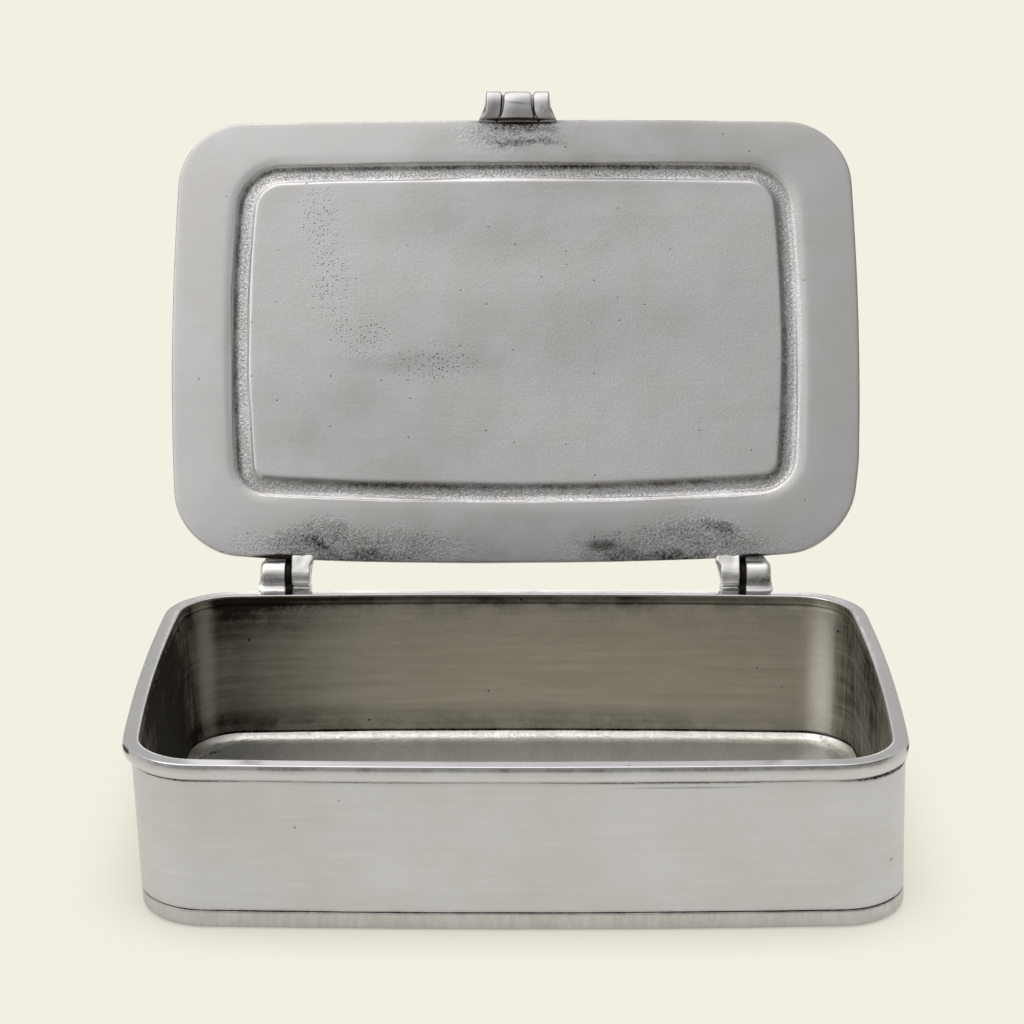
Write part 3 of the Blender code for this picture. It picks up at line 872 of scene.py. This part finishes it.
class Wire:
    def __init__(self, sheet, socket):
        self.sheet = sheet
        self.socket = socket

    def __add__(self, other):
        return self.sheet.math("ADD", self, other)

    def __sub__(self, other):
        return self.sheet.math("SUBTRACT", self, other)

    def __rsub__(self, other):
        return self.sheet.math("SUBTRACT", other, self)

    def __mul__(self, other):
        return self.sheet.math("MULTIPLY", self, other)

    __radd__ = __add__
    __rmul__ = __mul__


class Sheet:
    def __init__(self, tree):
        self.tree = tree
        tree.nodes.clear()

    # A colour is given as red, green and blue, and gets its full alpha here
    def node(self, kind, settings, sockets, out=0):
        made = self.tree.nodes.new(kind)
        for word, value in settings.items():
            setattr(made, word, value)
        for word, value in sockets.items():
            socket = made.inputs[word]
            if isinstance(value, Wire):
                self.tree.links.new(value.socket, socket)
            else:
                socket.default_value = (*value, 1.0) if socket.type == "RGBA" else value
        return Wire(self, made.outputs[out]) if len(made.outputs) else None

    def math(self, operation, *values):
        return self.node("ShaderNodeMath", {"operation": operation}, dict(enumerate(values)))

    def capped(self, value):
        return self.math("MINIMUM", value, 1.0)

    def ease(self, value, low, high, start=0.0, end=1.0):
        sockets = {"Value": value, "From Min": low, "From Max": high, "To Min": start, "To Max": end}
        return self.node("ShaderNodeMapRange", {"interpolation_type": "SMOOTHSTEP"}, sockets)

    def blend(self, factor, first, second):
        return self.node("ShaderNodeMix", {"data_type": "RGBA"}, {0: factor, 6: first, 7: second}, 2)

    def stretch(self, vector, scale):
        return self.node("ShaderNodeMapping", {}, {"Vector": vector, "Scale": scale})

    def noise(self, vector, word, out=0):
        scale, detail, roughness = noises[word]
        sockets = {"Vector": vector, "Scale": scale, "Detail": detail, "Roughness": roughness}
        return self.node("ShaderNodeTexNoise", {}, sockets, out)

    def named(self, word):
        return self.node("ShaderNodeAttribute", {"attribute_name": word}, {}, "Fac")

    def side(self, vector, letter):
        return self.node("ShaderNodeSeparateXYZ", {}, {"Vector": vector}, letter)

    def ray(self, word):
        return self.node("ShaderNodeLightPath", {}, {}, "Is " + word + " Ray")


# Pewter: brushed along one direction, mottled, pitted, cast-grained and dark in its recesses, partly with patina
# and partly with painted shade
pewterLook = {
    "clean": (0.637, 0.633, 0.655),
    "warm": (0.607, 0.600, 0.604),
    "inside": (0.670, 0.635, 0.545),
    "insideDark": (0.470, 0.435, 0.345),
    # painted sheen inside the box
    "insidePaintedSheen": (0.800, 0.785, 0.740),
    "rubbed": (0.680, 0.675, 0.705),
    "brushDark": (0.36, 0.35, 0.34),
    # the dark colour of patina, stains and painted shade
    "tarnishAndPaintedShade": (0.021, 0.017, 0.010),
    "roughness": 0.36,
    "polished": 0.18,
    "streaks": 0.12,
    "broken": 0.6,  # how far the patina and painted shade break up
    "wander": 0.0,  # how far the edges of rough patches stray
    "turned": False,  # pieces of the lid are coloured as they lie when it is shut
}
# Scale, detail and roughness of each noise
noises = {
    "fineBrush": (1.0, 3.0, 0.65),
    "broadBrush": (1.0, 2.0, 0.5),
    "mottle": (55.0, 4.0, 0.6),
    "speckle": (2600.0, 3.0, 0.7),
    "crumbs": (1200.0, 3.0, 0.66),
    "gaps": (140.0, 3.0, 0.6),
    "stray": (170.0, 3.0, 0.5),
    "smear": (1.0, 5.0, 0.72),
    "upright": (1.0, 3.0, 0.6),
}
stretches = {
    "broadBrush": (0.35, 0.35, 0.35),
    "smear": (36.0, 36.0, 560.0),
    "upright": (900.0, 900.0, 70.0),
}
# Between its first two values a range runs from none to all, or from its third value to its fourth
ranges = {
    "blot": (1.0, 0.2),
    "warm": (0.35, 0.68),
    "holes": (0.50, 0.36),
    "gaps": (0.38, 0.58),
    "patinaAndPaintedShade": (0.28, 0.62, 0.45, 1.0),
    "roughCastDark": (0.62, 0.34, 0.45, 1.1),
    "smoothPatchDark": (0.25, 0.70, 0.7, 1.2),
    "streaks": (0.25, 0.75),
    "olive": (0.05, 0.98),
    # Painted shade inside the box: towards the left end, at the right end, and how it is broken up
    "leftPaintedShade": (-0.030, -0.082, 0.0, 0.70),
    "rightPaintedShade": (0.0765, 0.0785, 0.0, 0.40),
    "nearEnds": (0.073, 0.079),
    "paintedShadeSmear": (0.30, 0.66, 0.87, 1.06),
    "paintedShadeMottle": (0.30, 0.70, 0.82, 1.14),
    "paintedShadeUpright": (0.3, 0.7, 0.78, 1.12),
}
# Size of the cells, radius of the pits, share of the cells with one, seed, and whether it's a flat pattern
pitting = {
    "sparse": (0.0060, 0.00042, 0.55, 1.3, False),
    "face": (0.0065, 0.00026, 0.12, 1.3, True),
    "crowd": (0.0012, 0.00022, 0.45, 4.1, True),
    "fine": (0.00085, 0.00017, 0.45, 7.7, True),
}
# Metres of height, and shares of roughness and darkness, that each feature brings
relief = {"fineBrush": 0.0000035, "broadBrush": 0.0000050, "crumbs": 0.00034, "holes": 0.00007,
          "pits": 0.00014, "mottle": 0.00008}
rougher = {"inside": 0.12, "fineBrush": 0.16, "mottle": 0.10, "dark": 0.3, "roughCast": 0.10}
darker = {"holes": 0.30, "pits": 0.65, "finePits": 0.7, "metallic": 0.30}


def pitMask(sheet, place, size, radius, share, seed, flat):
    shift = {"Vector": place, "Location": (seed, seed * 0.7, seed * 0.3)}
    settings = {"feature": "F1", "voronoi_dimensions": "2D" if flat else "3D"}
    sockets = {"Vector": sheet.node("ShaderNodeMapping", {}, shift), "Scale": 1 / size}
    distance = sheet.node("ShaderNodeTexVoronoi", settings, sockets, "Distance")
    colour = sheet.node("ShaderNodeTexVoronoi", settings, sockets, "Color")
    pick = sheet.node("ShaderNodeSeparateColor", {}, {"Color": colour}, "Red")
    chosen = sheet.ease(pick, 1 - share, 1 - share + 0.02)
    return sheet.ease(distance, radius / size, 0.35 * radius / size) * chosen


def blot(sheet, place, centre, spread, tilt=0.0):
    settings = {"vector_type": "TEXTURE"}
    sockets = {"Vector": place, "Location": centre, "Rotation": (0, 0, tilt), "Scale": spread}
    local = sheet.node("ShaderNodeMapping", settings, sockets)
    away = sheet.node("ShaderNodeVectorMath", {"operation": "LENGTH"}, {0: local}, "Value")
    return sheet.ease(away, *ranges["blot"])


# A few pits everywhere, or crowded ones where there are clusters
def makePits(sheet, place, clusters):
    if not clusters:
        return pitMask(sheet, place, *pitting["sparse"])
    crowded = 0.0
    for centre, spread in clusters:
        crowded = blot(sheet, place, centre, spread) + crowded
    crowded = sheet.capped(crowded)
    pits = pitMask(sheet, place, *pitting["face"])
    pits = pits + pitMask(sheet, place, *pitting["crowd"]) * crowded
    pits = pits + darker["finePits"] * pitMask(sheet, place, *pitting["fine"]) * crowded
    return sheet.capped(pits)


# A rough-cast patch is porous and dark with grime, in places also with painted shade; the others carry smudges
# and painted shade
def layPatches(sheet, place, patches, porous, wander):
    bent = place
    if wander:
        stray = sheet.noise(place, "stray", "Color")
        half = sheet.node("ShaderNodeVectorMath", {"operation": "SUBTRACT"}, {0: stray, 1: (0.5, 0.5, 0.5)})
        sockets = {0: half, 1: [wander] * 3, 2: place}
        bent = sheet.node("ShaderNodeVectorMath", {"operation": "MULTIPLY_ADD"}, sockets)
    grimeAndPaintedShade = 0.0
    smudgesAndPaintedShade = 0.0
    for centre, spread, tilt, roughCast, darkness in patches:
        spot = blot(sheet, bent if roughCast else place, centre, spread, tilt)
        if roughCast:
            porous = porous + roughCast * spot
            grimeAndPaintedShade = darkness * spot + grimeAndPaintedShade
        else:
            smudgesAndPaintedShade = darkness * spot + smudgesAndPaintedShade
    return sheet.capped(porous), grimeAndPaintedShade, smudgesAndPaintedShade


# Painted shade inside the box, deepest at the left end. Below zero it stands for painted sheen
def makePaintedShadeAndSheen(sheet, place, smear, mottle, spots):
    across = sheet.side(place, "X")
    paintedShadeAndSheen = sheet.ease(across, *ranges["leftPaintedShade"])
    for centre, spread, darkness in spots:
        paintedShadeAndSheen = darkness * blot(sheet, place, centre, spread) + paintedShadeAndSheen
    paintedShadeAndSheen = paintedShadeAndSheen + sheet.ease(across, *ranges["rightPaintedShade"])
    paintedShadeAndSheen = paintedShadeAndSheen * sheet.ease(smear, *ranges["paintedShadeSmear"]) * sheet.ease(mottle, *ranges["paintedShadeMottle"])
    nearEnds = sheet.ease(sheet.math("ABSOLUTE", across), *ranges["nearEnds"])
    upright = sheet.noise(sheet.stretch(place, stretches["upright"]), "upright")
    return paintedShadeAndSheen * (1 + nearEnds * (sheet.ease(upright, *ranges["paintedShadeUpright"]) - 1))


def makePewter(name, brushScale, patches=(), clusters=(), spots=(), **changes):
    look = {**pewterLook, **changes}
    material = bpy.data.materials.new(name)
    material.use_nodes = True
    sheet = Sheet(material.node_tree)
    place = sheet.node("ShaderNodeTexCoord", {}, {}, "Object")
    if look["turned"]:
        shut = openTurn.inverted()
        sockets = {"Vector": place, "Location": shut.translation, "Rotation": shut.to_euler()}
        place = sheet.node("ShaderNodeMapping", {}, sockets)
    patinaAndPaintedShade, grain, polish, inside = [sheet.named(word) for word in mark()]
    along = sheet.stretch(place, brushScale)
    fineBrush = sheet.noise(along, "fineBrush")
    broadBrush = sheet.noise(sheet.stretch(along, stretches["broadBrush"]), "broadBrush")
    mottle = sheet.noise(place, "mottle")
    crumbs = sheet.noise(place, "crumbs")
    pits = makePits(sheet, place, clusters)
    roughCast, grimeAndPaintedShade, smudgesAndPaintedShade = layPatches(sheet, place, patches, grain, look["wander"])
    holes = sheet.ease(sheet.noise(place, "speckle"), *ranges["holes"]) * roughCast

    unbroken = sheet.ease(sheet.noise(place, "gaps"), *ranges["gaps"], 1 - look["broken"], 1.0)
    dark = patinaAndPaintedShade * unbroken * sheet.ease(crumbs, *ranges["patinaAndPaintedShade"])
    if patches:
        dark = dark + grimeAndPaintedShade * sheet.ease(crumbs, *ranges["roughCastDark"])
        dark = dark + smudgesAndPaintedShade * sheet.ease(mottle, *ranges["smoothPatchDark"])
    dark = sheet.capped(dark + darker["holes"] * holes + darker["pits"] * pits)
    smear = sheet.noise(sheet.stretch(place, stretches["smear"]), "smear")
    # Painted shade darkens the inside of the box, and painted sheen makes it paler
    paintedShadeAndSheen = makePaintedShadeAndSheen(sheet, place, smear, mottle, spots)
    paintedSheen = sheet.math("MAXIMUM", 0.0 - paintedShadeAndSheen, 0.0)
    dark = sheet.capped(dark + inside * sheet.math("MAXIMUM", paintedShadeAndSheen, 0.0))

    colour = sheet.blend(sheet.ease(mottle, *ranges["warm"]), look["clean"], look["warm"])
    colour = sheet.blend(polish, colour, look["rubbed"])
    olive = sheet.blend(sheet.ease(smear, *ranges["olive"]), look["inside"], look["insideDark"])
    olive = sheet.blend(sheet.capped(paintedSheen), olive, look["insidePaintedSheen"])
    colour = sheet.blend(inside, colour, olive)
    streak = 0.5 + 0.75 * (fineBrush - 0.5) + 0.55 * (broadBrush - 0.5)
    streak = sheet.ease(streak, *ranges["streaks"], 0.0, look["streaks"])
    colour = sheet.blend(streak, colour, look["brushDark"])
    # The dark share carries patina, stains and painted shade
    colour = sheet.blend(dark, colour, look["tarnishAndPaintedShade"])

    roughness = rougher["inside"] * inside + look["roughness"]
    roughness = roughness + (look["polished"] - look["roughness"]) * polish
    roughness = roughness + rougher["fineBrush"] * (fineBrush - 0.5) + rougher["mottle"] * (mottle - 0.5)
    roughness = roughness + rougher["dark"] * dark + rougher["roughCast"] * roughCast
    height = relief["fineBrush"] * fineBrush * (1 - 0.6 * polish) + relief["broadBrush"] * broadBrush
    height = height + relief["crumbs"] * (crumbs - 0.5) * roughCast - relief["holes"] * holes
    height = height - relief["pits"] * pits + relief["mottle"] * mottle
    bump = sheet.node("ShaderNodeBump", {}, {"Height": height, "Strength": 1.0, "Distance": 1.0})
    shader = sheet.node("ShaderNodeBsdfPrincipled", {}, {
        "Base Color": colour, "Roughness": roughness, "Metallic": 1 - darker["metallic"] * dark,
        "Normal": bump})
    sheet.node("ShaderNodeOutputMaterial", {}, {"Surface": shader})
    return material


# Where the stains, painted shade and patches of each material lie. A patch has a middle, a spread, a turn about
# Z, how porous it is and how dark. A spot of painted shade, or below zero of painted sheen, has a middle, a
# spread and how dark it is

# Inside of the box: painted shade, deepest at the left end, and below zero painted sheen in the back corners and
# near the front of the right end
paintedShadeAndSheenSpots = (
    ((-0.0860, 0.0080, 0.014), (0.0160, 0.0560, 0.050), 0.80),
    ((-0.0600, 0.0520, 0.008), (0.0360, 0.0200, 0.011), 0.05),
    ((-0.0640, 0.0520, 0.034), (0.0300, 0.0200, 0.012), 0.24),
    ((-0.0768, 0.0500, 0.018), (0.0046, 0.0070, 0.060), -1.10),
    ((0.0000, 0.0540, 0.0385), (0.1400, 0.0300, 0.0060), 0.95),
    ((0.0000, 0.0520, 0.0060), (0.1200, 0.0100, 0.0050), 0.20),
    ((0.0860, 0.0300, 0.020), (0.0125, 0.1000, 0.060), 0.52),
    ((0.0752, 0.0510, 0.014), (0.0050, 0.0060, 0.034), -1.35),
    ((0.0850, -0.0300, 0.008), (0.0125, 0.0180, 0.010), -1.00),
)
# Wall and collar: the broken dark line where they meet, dark nicks at the land's front corners, and painted shade
# along the collar's front just below the land
seam = box["top"] - collar["height"]
seamPatches = (
    ((-0.0780, -0.0500, seam), (0.0300, 0.0140, 0.0006), 0.0, 0.3, 1.30),
    ((0.0800, -0.0480, seam), (0.0180, 0.0160, 0.0009), 0.0, 0.3, 1.60),
    ((0.0340, -0.0560, seam), (0.0440, 0.0080, 0.0005), 0.0, 0.3, 0.80),
    ((0.0360, -0.0560, seam - 0.0012), (0.0200, 0.0080, 0.0003), 0.0, 0.0, 0.40),
    ((-0.0300, -0.0560, seam), (0.0300, 0.0080, 0.0004), 0.0, 0.3, 0.50),
)
nicksAndPaintedShade = (
    ((-0.0828, -0.0450, box["top"] - 0.0006), (0.0011, 0.0058, 0.0010), 0.35, 0.0, 1.60),
    ((0.0840, -0.0425, box["top"] - 0.0008), (0.0012, 0.0044, 0.0012), -0.35, 0.0, 1.80),
    # painted shade along the collar's front, just below the land
    ((0.0000, -0.0590, box["top"] - 0.0008), (0.1400, 0.0200, 0.0006), 0.0, 0.0, 0.30),
    ((0.0000, -0.0590, box["top"] - 0.0010), (0.1400, 0.0200, 0.0026), 0.0, 0.0, 0.08),
)
wallTones = {"clean": (0.645, 0.640, 0.690), "warm": (0.612, 0.605, 0.625)}
wallPewter = makePewter("wallPewter", (70.0, 70.0, 3400.0), seamPatches, spots=paintedShadeAndSheenSpots, **wallTones)
collarPewter = makePewter("collarPewter", (60.0, 60.0, 2500.0), seamPatches + nicksAndPaintedShade, spots=paintedShadeAndSheenSpots,
                          broken=0.8, rubbed=(0.680, 0.675, 0.715), polished=0.12, **wallTones)

# Tray: cast grain on the hollow curve, and the rough crevices at its back corners. Its pale rubbed tone is a
# painted highlight on the hollow curve
trayPatches = (
    ((0.0000, 0.0510, 0.0015), (0.1500, 0.0070, 0.0080), 0.0, 0.16, 0.04),
    ((-0.0744, 0.0405, 0.0015), (0.0100, 0.0016, 0.0060), 1.0, 0.8, 0.90),
    ((0.0784, 0.0425, 0.0015), (0.0115, 0.0014, 0.0060), -1.05, 0.3, 0.30),
)
trayPewter = makePewter("trayPewter", (1000.0, 260.0, 260.0), trayPatches, spots=paintedShadeAndSheenSpots,
                        polished=0.28, rubbed=(0.94, 0.93, 0.91), streaks=0.28)


# Patches at the height of the lid's face, from rows of x, y, spread along x and y, and the rest
def facePatches(rows, upward, root=0.0):
    patches = []
    for x, y, long, wide, *rest in rows:
        patches.append(((x, root + y, lid["underside"]), (long, wide, upward), *rest))
    return patches


# Lid: its upward spread leaves the outside clean
faceOnly = lid["thickness"] * 0.95
lidPatches = facePatches((
    # Under the tab: porous cast metal, darkened also as painted shadow, deepest along the tab's root
    (-0.001, -0.0520, 0.0200, 0.0070, 0.0, 0.8, 0.14),
    (0.0010, -0.0545, 0.0125, 0.0024, 0.0, 0.6, 0.60),
    (0.0006, -0.0556, 0.0150, 0.0012, 0.0, 0.0, 0.90),
    (0.0020, -0.0502, 0.0140, 0.0013, 0.04, 0.8, 0.34),
    (-0.0499, 0.0500, 0.0130, 0.0066, -0.3, 1.0, 0.26),
    (-0.0480, 0.0510, 0.0050, 0.0024, 0.3, 1.0, 0.40),
    (-0.0400, 0.0530, 0.0420, 0.0090, 0.0, 1.0, 0.10),
    (-0.0405, 0.0545, 0.0220, 0.0024, 0.0, 1.0, 0.36),
    # painted shadow on the lid's edge beside the left hinge
    (-0.0600, 0.0548, 0.0095, 0.0014, -0.06, 0.0, 1.60),
    (0.0458, 0.0486, 0.0180, 0.0070, 0.15, 1.0, 0.22),
    (0.0500, 0.0470, 0.0060, 0.0022, 0.2, 1.0, 0.40),
    (0.0400, 0.0530, 0.0420, 0.0090, 0.0, 1.0, 0.10),
    (0.0360, 0.0545, 0.0210, 0.0024, 0.0, 1.0, 0.46),
    (0.0210, 0.0516, 0.0060, 0.0020, 0.0, 0.0, 0.34),
    (0.0020, -0.0003, 0.0800, 0.0200, -0.15, 0.0, 0.11),
    (-0.0250, 0.0060, 0.0300, 0.0040, 0.0, 0.0, 0.12),
    (-0.0340, 0.0260, 0.0500, 0.0220, 0.20, 0.0, 0.13),
    (0.0000, -0.0310, 0.0500, 0.0160, 0.0, 0.0, 0.13),
    # painted shade along the lid's hinge end and on its front border
    (0.0050, 0.0600, 0.1100, 0.0240, 0.0, 0.0, 0.42),
    (0.0250, -0.0490, 0.0700, 0.0160, 0.0, 0.0, 0.24),
    # painted shadow on the lid's edge beside the right hinge
    (0.0594, 0.0552, 0.0074, 0.0020, 0.04, 0.0, 2.20),
), faceOnly)
lidClusters = facePatches((
    (-0.0490, -0.0310, 0.0080, 0.0120),
    (-0.0460, -0.0150, 0.0090, 0.0150),
    (-0.0380, -0.0010, 0.0120, 0.0080),
    (-0.0200, 0.0060, 0.0180, 0.0080),
), faceOnly)
lidPewter = makePewter("lidPewter", (110.0, 3000.0, 110.0), lidPatches, lidClusters, turned=True,
                       broken=0.35, wander=0.005, streaks=0.08)

# Lift tab: painted shadow along its root, its two creases, and smudges that are partly painted shade on its
# lobes, with y measured from the root
tabRoot = -backEdge(0.0, lid["inset"]) - lid["frontLonger"]
tabPatches = facePatches((
    # painted shadow along the tab's root
    (0.0005, 0.0, 0.0150, 0.00070, 0.0, 0.0, 1.3),
    # smudges, partly painted shade on the lobes
    (0.0010, -0.0016, 0.0060, 0.0020, 0.1, 0.0, 0.30),
    (0.0070, -0.0022, 0.0018, 0.0020, 0.3, 0.3, 0.40),
    (-0.0056, -0.0026, 0.0018, 0.0036, 0.5, 0.0, 0.35),
    (0.0006, -0.0042, 0.0040, 0.0005, 0.1, 0.0, 0.35),
    (-0.0036, -0.0040, 0.00036, 0.0060, 0.06, 0.0, 1.0),
    (0.0045, -0.0022, 0.00036, 0.0042, 0.0, 0.0, 1.1),
), 0.01, tabRoot)
# The tab's tones are darker than the lid's, as painted shade
tabPewterWithPaintedShade = makePewter("tabPewterWithPaintedShade", (60.0, 60.0, 60.0), tabPatches, turned=True,
                       clean=(0.47, 0.465, 0.485), warm=(0.44, 0.435, 0.45), rubbed=(0.50, 0.495, 0.515),
                       roughness=0.42, polished=0.30)

# Hinges: rough solder under each barrel, darkened also as painted shade; painted shadow in its slot and on its
# stop; and painted shade on the right barrel's end
hingePaintedShadowsAndStains = []
for side in (-1, 1):
    hingePaintedShadowsAndStains += [
        # rough solder under the barrel, darkened also as painted shade
        ((side * 0.0592, axis.y - 0.0030, axis.z - 0.0006), (0.0070, 0.0024, 0.0014), 0.0, 1.0, 0.60),
        # painted shadow in the slot and on the stop
        ((side * 0.0555, axis.y, axis.z), (0.0012, 0.0300, 0.0300), 0.0, 0.0, 2.20),
        ((side * 0.0592, axis.y + 0.0010, axis.z + 0.0042), (0.0060, 0.0030, 0.0016), 0.0, 0.4, 1.00),
    ]
# painted shade on the right barrel's end
hingePaintedShadowsAndStains.append(((0.0615, axis.y, axis.z - 0.0005), (0.0052, 0.0060, 0.0050), 0.0, 0.0, 0.30))
# The hinge's tones are paler than the lid's, as painted light
hingePewterWithPaintedLight = makePewter("hingePewterWithPaintedLight", (300.0, 300.0, 300.0), hingePaintedShadowsAndStains,
                         clean=(0.78, 0.775, 0.785), warm=(0.74, 0.735, 0.74), rubbed=(0.80, 0.795, 0.805),
                         roughness=0.44, polished=0.34)
pinMetal = makePewter("pinMetal", (3000.0, 300.0, 300.0))
print("materials made")


# Floor, light and camera. The sky's ranges run over the height or the side of a direction
studio = {
    "cream": (0.8879, 0.8714, 0.7605),
    "floorSize": 12.0,
    "shadowReach": 0.022,
    "shadowDepth": 0.55,
    "frontRise": (0.20, 0.66, 0.26, 0.72),
    "frontZenith": (0.70, 0.94, 0.0, 0.42),
    "leftward": -1.25,
    "mostLeft": 1.9,
    "backRise": (0.36, 0.60, 0.56, 0.74),
    "backZenith": (0.72, 0.95, 0.0, 0.55),
    "backHorizon": (0.352, 0.336, 0.0, 0.95),  # a bright band low in the back, only straight behind
    "straightBack": (0.120, 0.092),
    "turnBack": (-0.15, 0.35),
    "sky": (1.0, 0.985, 0.93),
    "lamps": {  # place, target, size, power and colour
        "overhead": ((-0.10, 0.16, 0.90), (0.0, 0.03, 0.03), (0.8, 0.6), 1.7, (1.0, 0.99, 0.97)),
        "key": ((-0.95, -0.55, 0.75), (0.0, 0.02, 0.06), (0.5, 0.5), 0.9, (0.98, 0.99, 1.0)),
    },
    "eye": (0.0, -0.6079, 0.2715),
    "pitchDown": 17.86,
    "lens": 101.1,
    "shiftX": -3.69 / 1024,
}


def makeFloor():
    bpy.ops.mesh.primitive_plane_add(size=studio["floorSize"])
    floor = bpy.context.object
    floor.name = "floor"
    material = bpy.data.materials.new("floor")
    material.use_nodes = True
    sheet = Sheet(material.node_tree)
    reach = {"Distance": studio["shadowReach"]}
    shade = sheet.node("ShaderNodeAmbientOcclusion", {"samples": 8}, reach, "AO")
    shade = sheet.ease(shade, 0.0, 1.0, studio["shadowDepth"], 1.0)
    pale = sheet.blend(shade, (0.0, 0.0, 0.0), studio["cream"])
    seen = sheet.capped(sheet.ray("Camera") + sheet.ray("Glossy") + sheet.ray("Transmission"))
    glow = sheet.node("ShaderNodeEmission", {}, {"Color": pale, "Strength": 1.0})
    plain = sheet.node("ShaderNodeBsdfDiffuse", {}, {"Color": studio["cream"]})
    surface = sheet.node("ShaderNodeMixShader", {}, {0: seen, 1: plain, 2: glow})
    sheet.node("ShaderNodeOutputMaterial", {}, {"Surface": surface})
    floor.data.materials.append(material)


def makeWorld():
    world = bpy.data.worlds.new("studio")
    world.use_nodes = True
    bpy.context.scene.world = world
    sheet = Sheet(world.node_tree)
    direction = sheet.node("ShaderNodeTexCoord", {}, {}, "Generated")
    toRight, toBack, up = [sheet.side(direction, letter) for letter in "XYZ"]
    front = sheet.ease(up, *studio["frontRise"]) + sheet.ease(up, *studio["frontZenith"])
    fallOff = sheet.math("EXPONENT", studio["leftward"] * toRight)
    front = front * sheet.math("MINIMUM", fallOff, studio["mostLeft"])
    back = sheet.ease(up, *studio["backRise"]) + sheet.ease(up, *studio["backZenith"])
    straightBack = sheet.ease(sheet.math("ABSOLUTE", toRight), *studio["straightBack"])
    back = back + straightBack * sheet.ease(up, *studio["backHorizon"])
    lit = front + (back - front) * sheet.ease(toBack, *studio["turnBack"])
    seen = sheet.ray("Camera")
    strength = lit + (1.0 - lit) * seen
    colour = sheet.blend(seen, studio["sky"], studio["cream"])
    glow = sheet.node("ShaderNodeBackground", {}, {"Color": colour, "Strength": strength})
    sheet.node("ShaderNodeOutputWorld", {}, {"Surface": glow})


def addLamp(name, place, target, size, power, colour):
    light = bpy.data.lights.new(name, "AREA")
    light.shape = "RECTANGLE"
    light.size = size[0]
    light.size_y = size[1]
    light.energy = power
    light.color = colour
    lamp = bpy.data.objects.new(name, light)
    lamp.location = place
    lamp.rotation_euler = (Vector(target) - Vector(place)).to_track_quat("-Z", "Y").to_euler()
    bpy.context.scene.collection.objects.link(lamp)


def makeCamera():
    camera = bpy.data.cameras.new("camera")
    camera.lens = studio["lens"]
    camera.sensor_width = 36.0
    camera.shift_x = studio["shiftX"]
    camera.clip_start = 0.01
    item = bpy.data.objects.new("camera", camera)
    item.location = studio["eye"]
    item.rotation_euler = (math.radians(90 - studio["pitchDown"]), 0, 0)
    bpy.context.scene.collection.objects.link(item)
    bpy.context.scene.camera = item


# Assembly

def dress(piece, material, body, nodes):
    piece.data.materials.clear()
    piece.data.materials.append(material)
    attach(piece, body)
    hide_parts(*nodes)


dress(makeTray(), trayPewter, "box", ["base_tray"])
dress(makeWall(), wallPewter, "box", ["wall_band"])
dress(makeCollar(), collarPewter, "box", ["rim_frame"])
print("box made")
dress(makeLid(), lidPewter, "lid", ["lid_plate"])
dress(makeTab(), tabPewterWithPaintedShade, "lid", ["thumb_piece"])
print("lid made")
for word in ("left", "right"):
    dress(makeOuterKnuckle(word), hingePewterWithPaintedLight, "box", ["box_knuckle_" + word])
    dress(makeInnerKnuckle(word), hingePewterWithPaintedLight, "lid", ["lid_knuckle_" + word])
    frame["nodes"]["hinge_pin_" + word].material_slots[0].material = pinMetal
print("hinges made")

makeFloor()
makeWorld()
for name, values in studio["lamps"].items():
    addLamp(name, *values)
makeCamera()
bpy.context.scene.view_settings.view_transform = "Standard"

print("scene ready")
